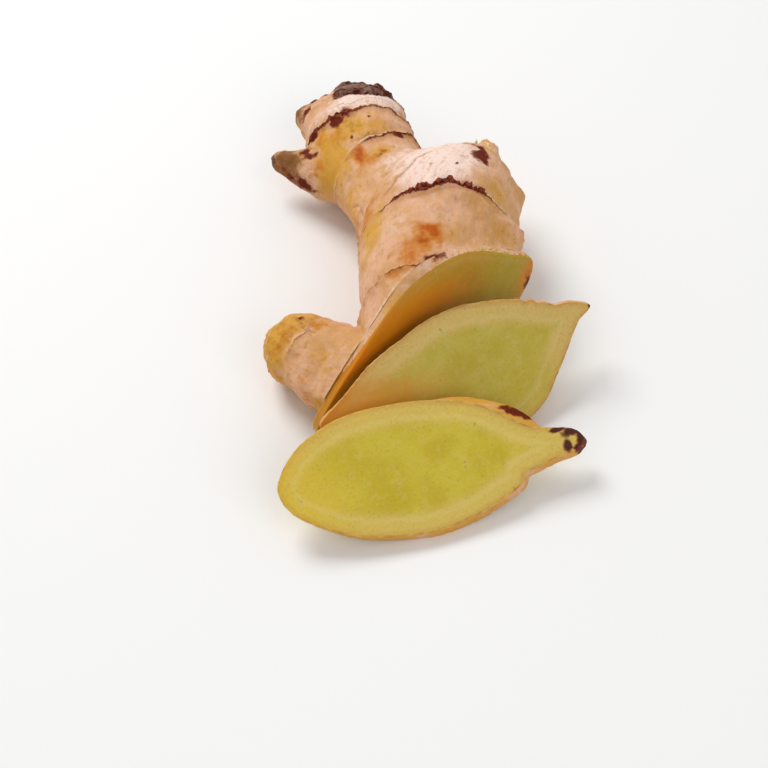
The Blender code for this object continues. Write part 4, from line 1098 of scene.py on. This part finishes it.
def makeSlice(name, piece, flesh, seed):
    # A grid of columns round the outline and rows from the middle of the front, over the edge and down the
    # side, to the middle of the back: middle + share (edge - middle)
    columns = sliceGrid["columns"]
    outline, inward = outlineOf(piece, columns)
    thick, bevel, rear = piece["thick"] * mm, piece["frontBevel"] * mm, piece["backBevel"] * mm
    centre = np.array(piece["centre"]) * mm
    place = np.concatenate([outline / mm, np.zeros((columns, 1))], axis=1)
    ragged = piece["ragged"] * mm * np.abs(cloud(place, sliceGrid["raggedSize"], seed))
    outline = outline + inward * (ragged - piece["over"] * mm)[:, None]
    for u, v, reach, depth in piece["nicks"]:
        near = np.exp(-(((outline - np.array([u, v]) * mm) / (reach * mm)) ** 2).sum(axis=1))
        outline = outline + inward * (near * depth * mm)[:, None]
    shear = np.array(piece["shear"]) * mm
    upper = inward[:, 1] < 0
    trim, flare = (upperEdge(piece[key], outline, upper) * mm for key in ("trim", "flare"))

    # Each row's share of the way out from the middle, its inset from the edge and its depth.
    share = 1 - np.linspace(1, 0, sliceGrid["faceRows"] + 1)[1:] ** sliceGrid["faceShape"]
    quarter = np.linspace(0, pi / 2, sliceGrid["bevelRows"] + 1)[1:]
    down = np.linspace(0, 1, sliceGrid["sideRows"] + 1)[1:]
    shares = np.concatenate([share, np.ones(2 * len(quarter) + len(down)), share[::-1][1:]])
    insets = np.concatenate([np.full(len(share), bevel), bevel * (1 - np.sin(quarter)), 0 * down,
                             rear * (1 - np.cos(quarter)), np.full(len(share) - 1, rear)])
    depths = np.concatenate([0 * share, bevel * (1 - np.cos(quarter)), bevel + (thick - rear - bevel) * down,
                             thick - rear * (1 - np.sin(quarter)), np.full(len(share) - 1, thick)])
    rows = len(shares)
    inset = insets[:, None] + trim - flare * depths[:, None] / thick
    edge = outline + inward * inset[..., None]
    flat = (centre + shares[:, None, None] * (edge - centre)).reshape(-1, 2)
    depth = np.repeat(depths, columns)
    onRim = np.repeat(shares, columns) == 1
    fromEdge = np.sqrt(squareDistances(flat, outline + inward * (trim + bevel)[:, None])).min(axis=1)
    fromEdge = np.where(onRim, 0, fromEdge)
    fleshSide = piece["skinBelow"] > piece["thick"]  # then the skin is behind it
    fromSkin = fromEdge + np.clip(thick - depth, 0, None) * fleshSide

    # The faces aren't quite flat: the knife leaves faint waves, and the middle stands a little proud.
    spot = np.stack([flat[:, 0], flat[:, 1], depth], axis=1) / mm
    wave = sum(sliceGrid[key][0] * cloud(spot, sliceGrid[key][1], seed + more)
               for key, more in (("waves", 3), ("grit", 7)))
    wave += sliceGrid["stele"] * (ease((fromEdge / mm - piece["cortex"]) / sliceGrid["steleSoft"]) - 1)
    onFace = ease(fromEdge / (sliceGrid["faceSoft"] * mm)) * ~onRim
    front = depth < thick / 2
    back = piece["reachBack"] * mm
    moved = depth - np.where(front, 1, -1) * wave * onFace * mm + back * ease((depth / thick - 0.5) * 2)
    points = onPlane(piece, flat + shear * (depth / thick)[:, None], moved)
    ends = onPlane(piece, np.array([centre, centre + shear]), np.array([0.0, thick + back]))
    verts, faces = closedTube(points.reshape(rows, columns, 3), ends=ends)
    verts[:, 2] = np.maximum(verts[:, 2], 0.01 * mm)

    # Down the side it is peel from a depth that may change along the edge, and the rest is flesh.
    skinFrom = upperEdge(piece["skinAbove"], outline, upper, piece["skinBelow"]) * mm
    onSide = (shares[:-1] == 1) & (shares[1:] == 1)
    kinds = onSide[:, None] & ((depths[:-1] + depths[1:])[:, None] / 2 > skinFrom)
    kinds = np.concatenate([kinds.ravel(), np.zeros(2 * columns)])
    made = newPiece(name, verts - shift, faces, [flesh, peel], kinds, sharp=60)
    flatMm = np.concatenate([np.concatenate([flat, [centre, centre]]), np.append(depth, [0, thick])[:, None]],
                            axis=1) / mm

    def spotAt(u, v, long, high, strength=1.0):  # strength exp(-((x - u) / long)^2 - ((y - v) / high)^2)
        return strength * np.exp(-((flatMm[:, 0] - u) / long) ** 2 - ((flatMm[:, 1] - v) / high) ** 2)

    patchy, patchSize = sliceGrid["ochrePatches"]
    # Painted amber: painted shade near the slice that leans on this one, glowing as light coming through the
    # flesh would. It is colour, not light.
    amberShadeGlow = np.max([spotAt(*mark) for mark in piece["amberMarks"]] + [np.zeros(len(verts))], axis=0)
    if piece["amberFrom"]:  # light comes through amber near the slice that leans on this one
        other = slices[piece["amberFrom"]]
        count = sliceGrid["amberPoints"]
        leaning = onPlane(other, outlineOf(other, count)[0], np.full(count, other["thick"] * mm / 2))
        reach = sliceGrid["amberReach"] * mm
        amberShadeGlow = np.maximum(amberShadeGlow, np.exp(-squareDistances(verts, leaning).min(axis=1) / reach ** 2))
    for tone, values in dict(
            flat=flatMm + np.array([seed * sliceGrid["apart"], 0, 0]), grain=flatMm, amberShadeGlow=amberShadeGlow,
            ripe=spotAt(*piece["ripe"]),
            inset=np.append(fromSkin, [fromSkin.max()] * 2) / mm, cortex=np.full(len(verts), piece["cortex"]),
            dark=np.max([spotAt(*mark) for mark in piece["marks"]], axis=0), scar=np.full(len(verts), noScar),
            ochre=piece["ochre"] + patchy * cloud(flatMm, patchSize, seed + 11, 2),
            pale=np.full(len(verts), piece["pale"])).items():
        setTone(made, tone, values)
    return made


for name, node, piece, flesh, slot, seed in (
        ("slice_inner_flesh", "slice_inner", sliceInner, fleshInner, "ginger_flesh_inner", 31),
        ("slice_middle_flesh", "slice_middle", sliceMiddle, fleshMiddle, "ginger_flesh_middle", 32),
        ("slice_front_flesh", "slice_front", sliceFront, fleshFront, "ginger_flesh_front", 33)):
    made = makeSlice(name, piece, flesh, seed)
    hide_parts(node)
    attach(made, "root")
    print(name, "made:", len(made.data.polygons), "faces")


# The torn fringe on the inner slice's upper edge, and loose fibres on the faces.
fringe = dict(columns=520, start=-4, startSoft=5, stop=24.5, stopSoft=1.5, above=14, tall=1.0, size=0.7,
              rooted=0.35, sunk=0.6, lean=0.5, leanSize=1.2, seed=71)
fibreShape = dict(sides=6, rows=14, radius=0.09, taper=0.75, rise=0.15)
looseFibres = [  # slice, u, v, direction in degrees, length, curl
    ("inner", -0.8, 29.0, 262, 2.6, 22), ("inner", 5.2, 29.2, 60, 1.3, 40),
    ("inner", 12.0, 25.9, 30, 1.2, -35), ("inner", -16.0, 22.4, 200, 1.0, 30),
    ("front", -9.0, 28.2, 160, 1.0, 25), ("middle", 24.0, 24.2, 20, 0.9, -30),
]


def makeFibres():
    # The fringe is a strip from the front edge, whose height is jagged noise; a loose fibre is a thin tube
    # along a curve: start + length (cos(turn) along + sin(turn) slope), turn = direction + curl * share
    outline, inward = outlineOf(sliceInner, fringe["columns"])
    u = outline[:, 0] / mm
    shown = ease((u - fringe["start"]) / fringe["startSoft"])
    shown = shown * ease((fringe["stop"] - u) / fringe["stopSoft"]) * (outline[:, 1] > fringe["above"] * mm)
    around = np.concatenate([outline / mm, 0 * outline[:, :1]], axis=1)
    jag = np.clip(cloud(around, fringe["size"], fringe["seed"]) * 1.2 + 0.2, 0, 1)
    jag = jag * shown * fringe["tall"] * mm
    lean = fringe["lean"] * cloud(around, fringe["leanSize"], fringe["seed"] + 9, 2)
    rows = []
    sunk = (1 - ease(shown * 3)) * fringe["sunk"] * mm
    trim = upperEdge(sliceInner["trim"], outline, inward[:, 1] < 0) * mm
    for share, depth in ((-0.5, 0.32), (0, 0.28), (0.6, 0.24), (1, 0.22), (1, 0.27), (0.6, 0.38), (0, 0.44),
                         (-0.5, 0.45)):
        inset = np.where(share < 0, fringe["rooted"] * mm, -share * jag) + sunk + trim
        flat = outline + inward * inset[:, None]
        rows.append(onPlane(sliceInner, flat, (depth - lean * max(share, 0) * jag / mm) * mm))
    verts, faces = [np.concatenate(rows)], [gridFaces(8, fringe["columns"], closedRows=True)]
    ring = np.linspace(0, 2 * pi, fibreShape["sides"], endpoint=False)
    share = np.linspace(0, 1, fibreShape["rows"])
    radius = fibreShape["radius"] * mm * (1 - fibreShape["taper"] * share)
    for name, u, v, turn, length, curl in looseFibres:
        angle = np.radians(turn + curl * share)
        step = np.stack([np.cos(angle), np.sin(angle)], axis=1) * length * mm / (len(share) - 1)
        flat = np.array([u, v]) * mm + np.cumsum(step, axis=0)
        lifted = onPlane(slices[name], flat, -(0.02 + fibreShape["rise"] * share ** 2 * length) * mm)
        _, along, slope, outward = sliceFrame(slices[name])
        across = -np.sin(angle)[:, None] * along + np.cos(angle)[:, None] * slope
        tube = (lifted[:, None] + radius[:, None, None] * (np.cos(ring)[:, None] * across[:, None]
                                                           + np.sin(ring)[:, None] * outward))
        first = sum(len(part) for part in verts)
        tubeVerts, tubeFaces = closedTube(tube, first)
        verts.append(tubeVerts)
        faces.append(tubeFaces)
    allFaces = [face for group in faces for face in (group if isinstance(group, list) else group.tolist())]
    piece = newPiece("flesh_fibres", np.concatenate(verts) - shift, allFaces, [driedScale], sharp=70)
    setTone(piece, "straw", np.ones(sum(len(part) for part in verts)))
    return piece


fibres = makeFibres()
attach(fibres, "root")
print("fibres made:", len(fibres.data.polygons), "faces")


# The floor.
half = stage["side"] * mm / 2
floor = newPiece("floor", np.array([(-half, -half, 0), (half, -half, 0), (half, half, 0), (-half, half, 0)]),
                 [(0, 1, 2, 3)], [whiteBoard])
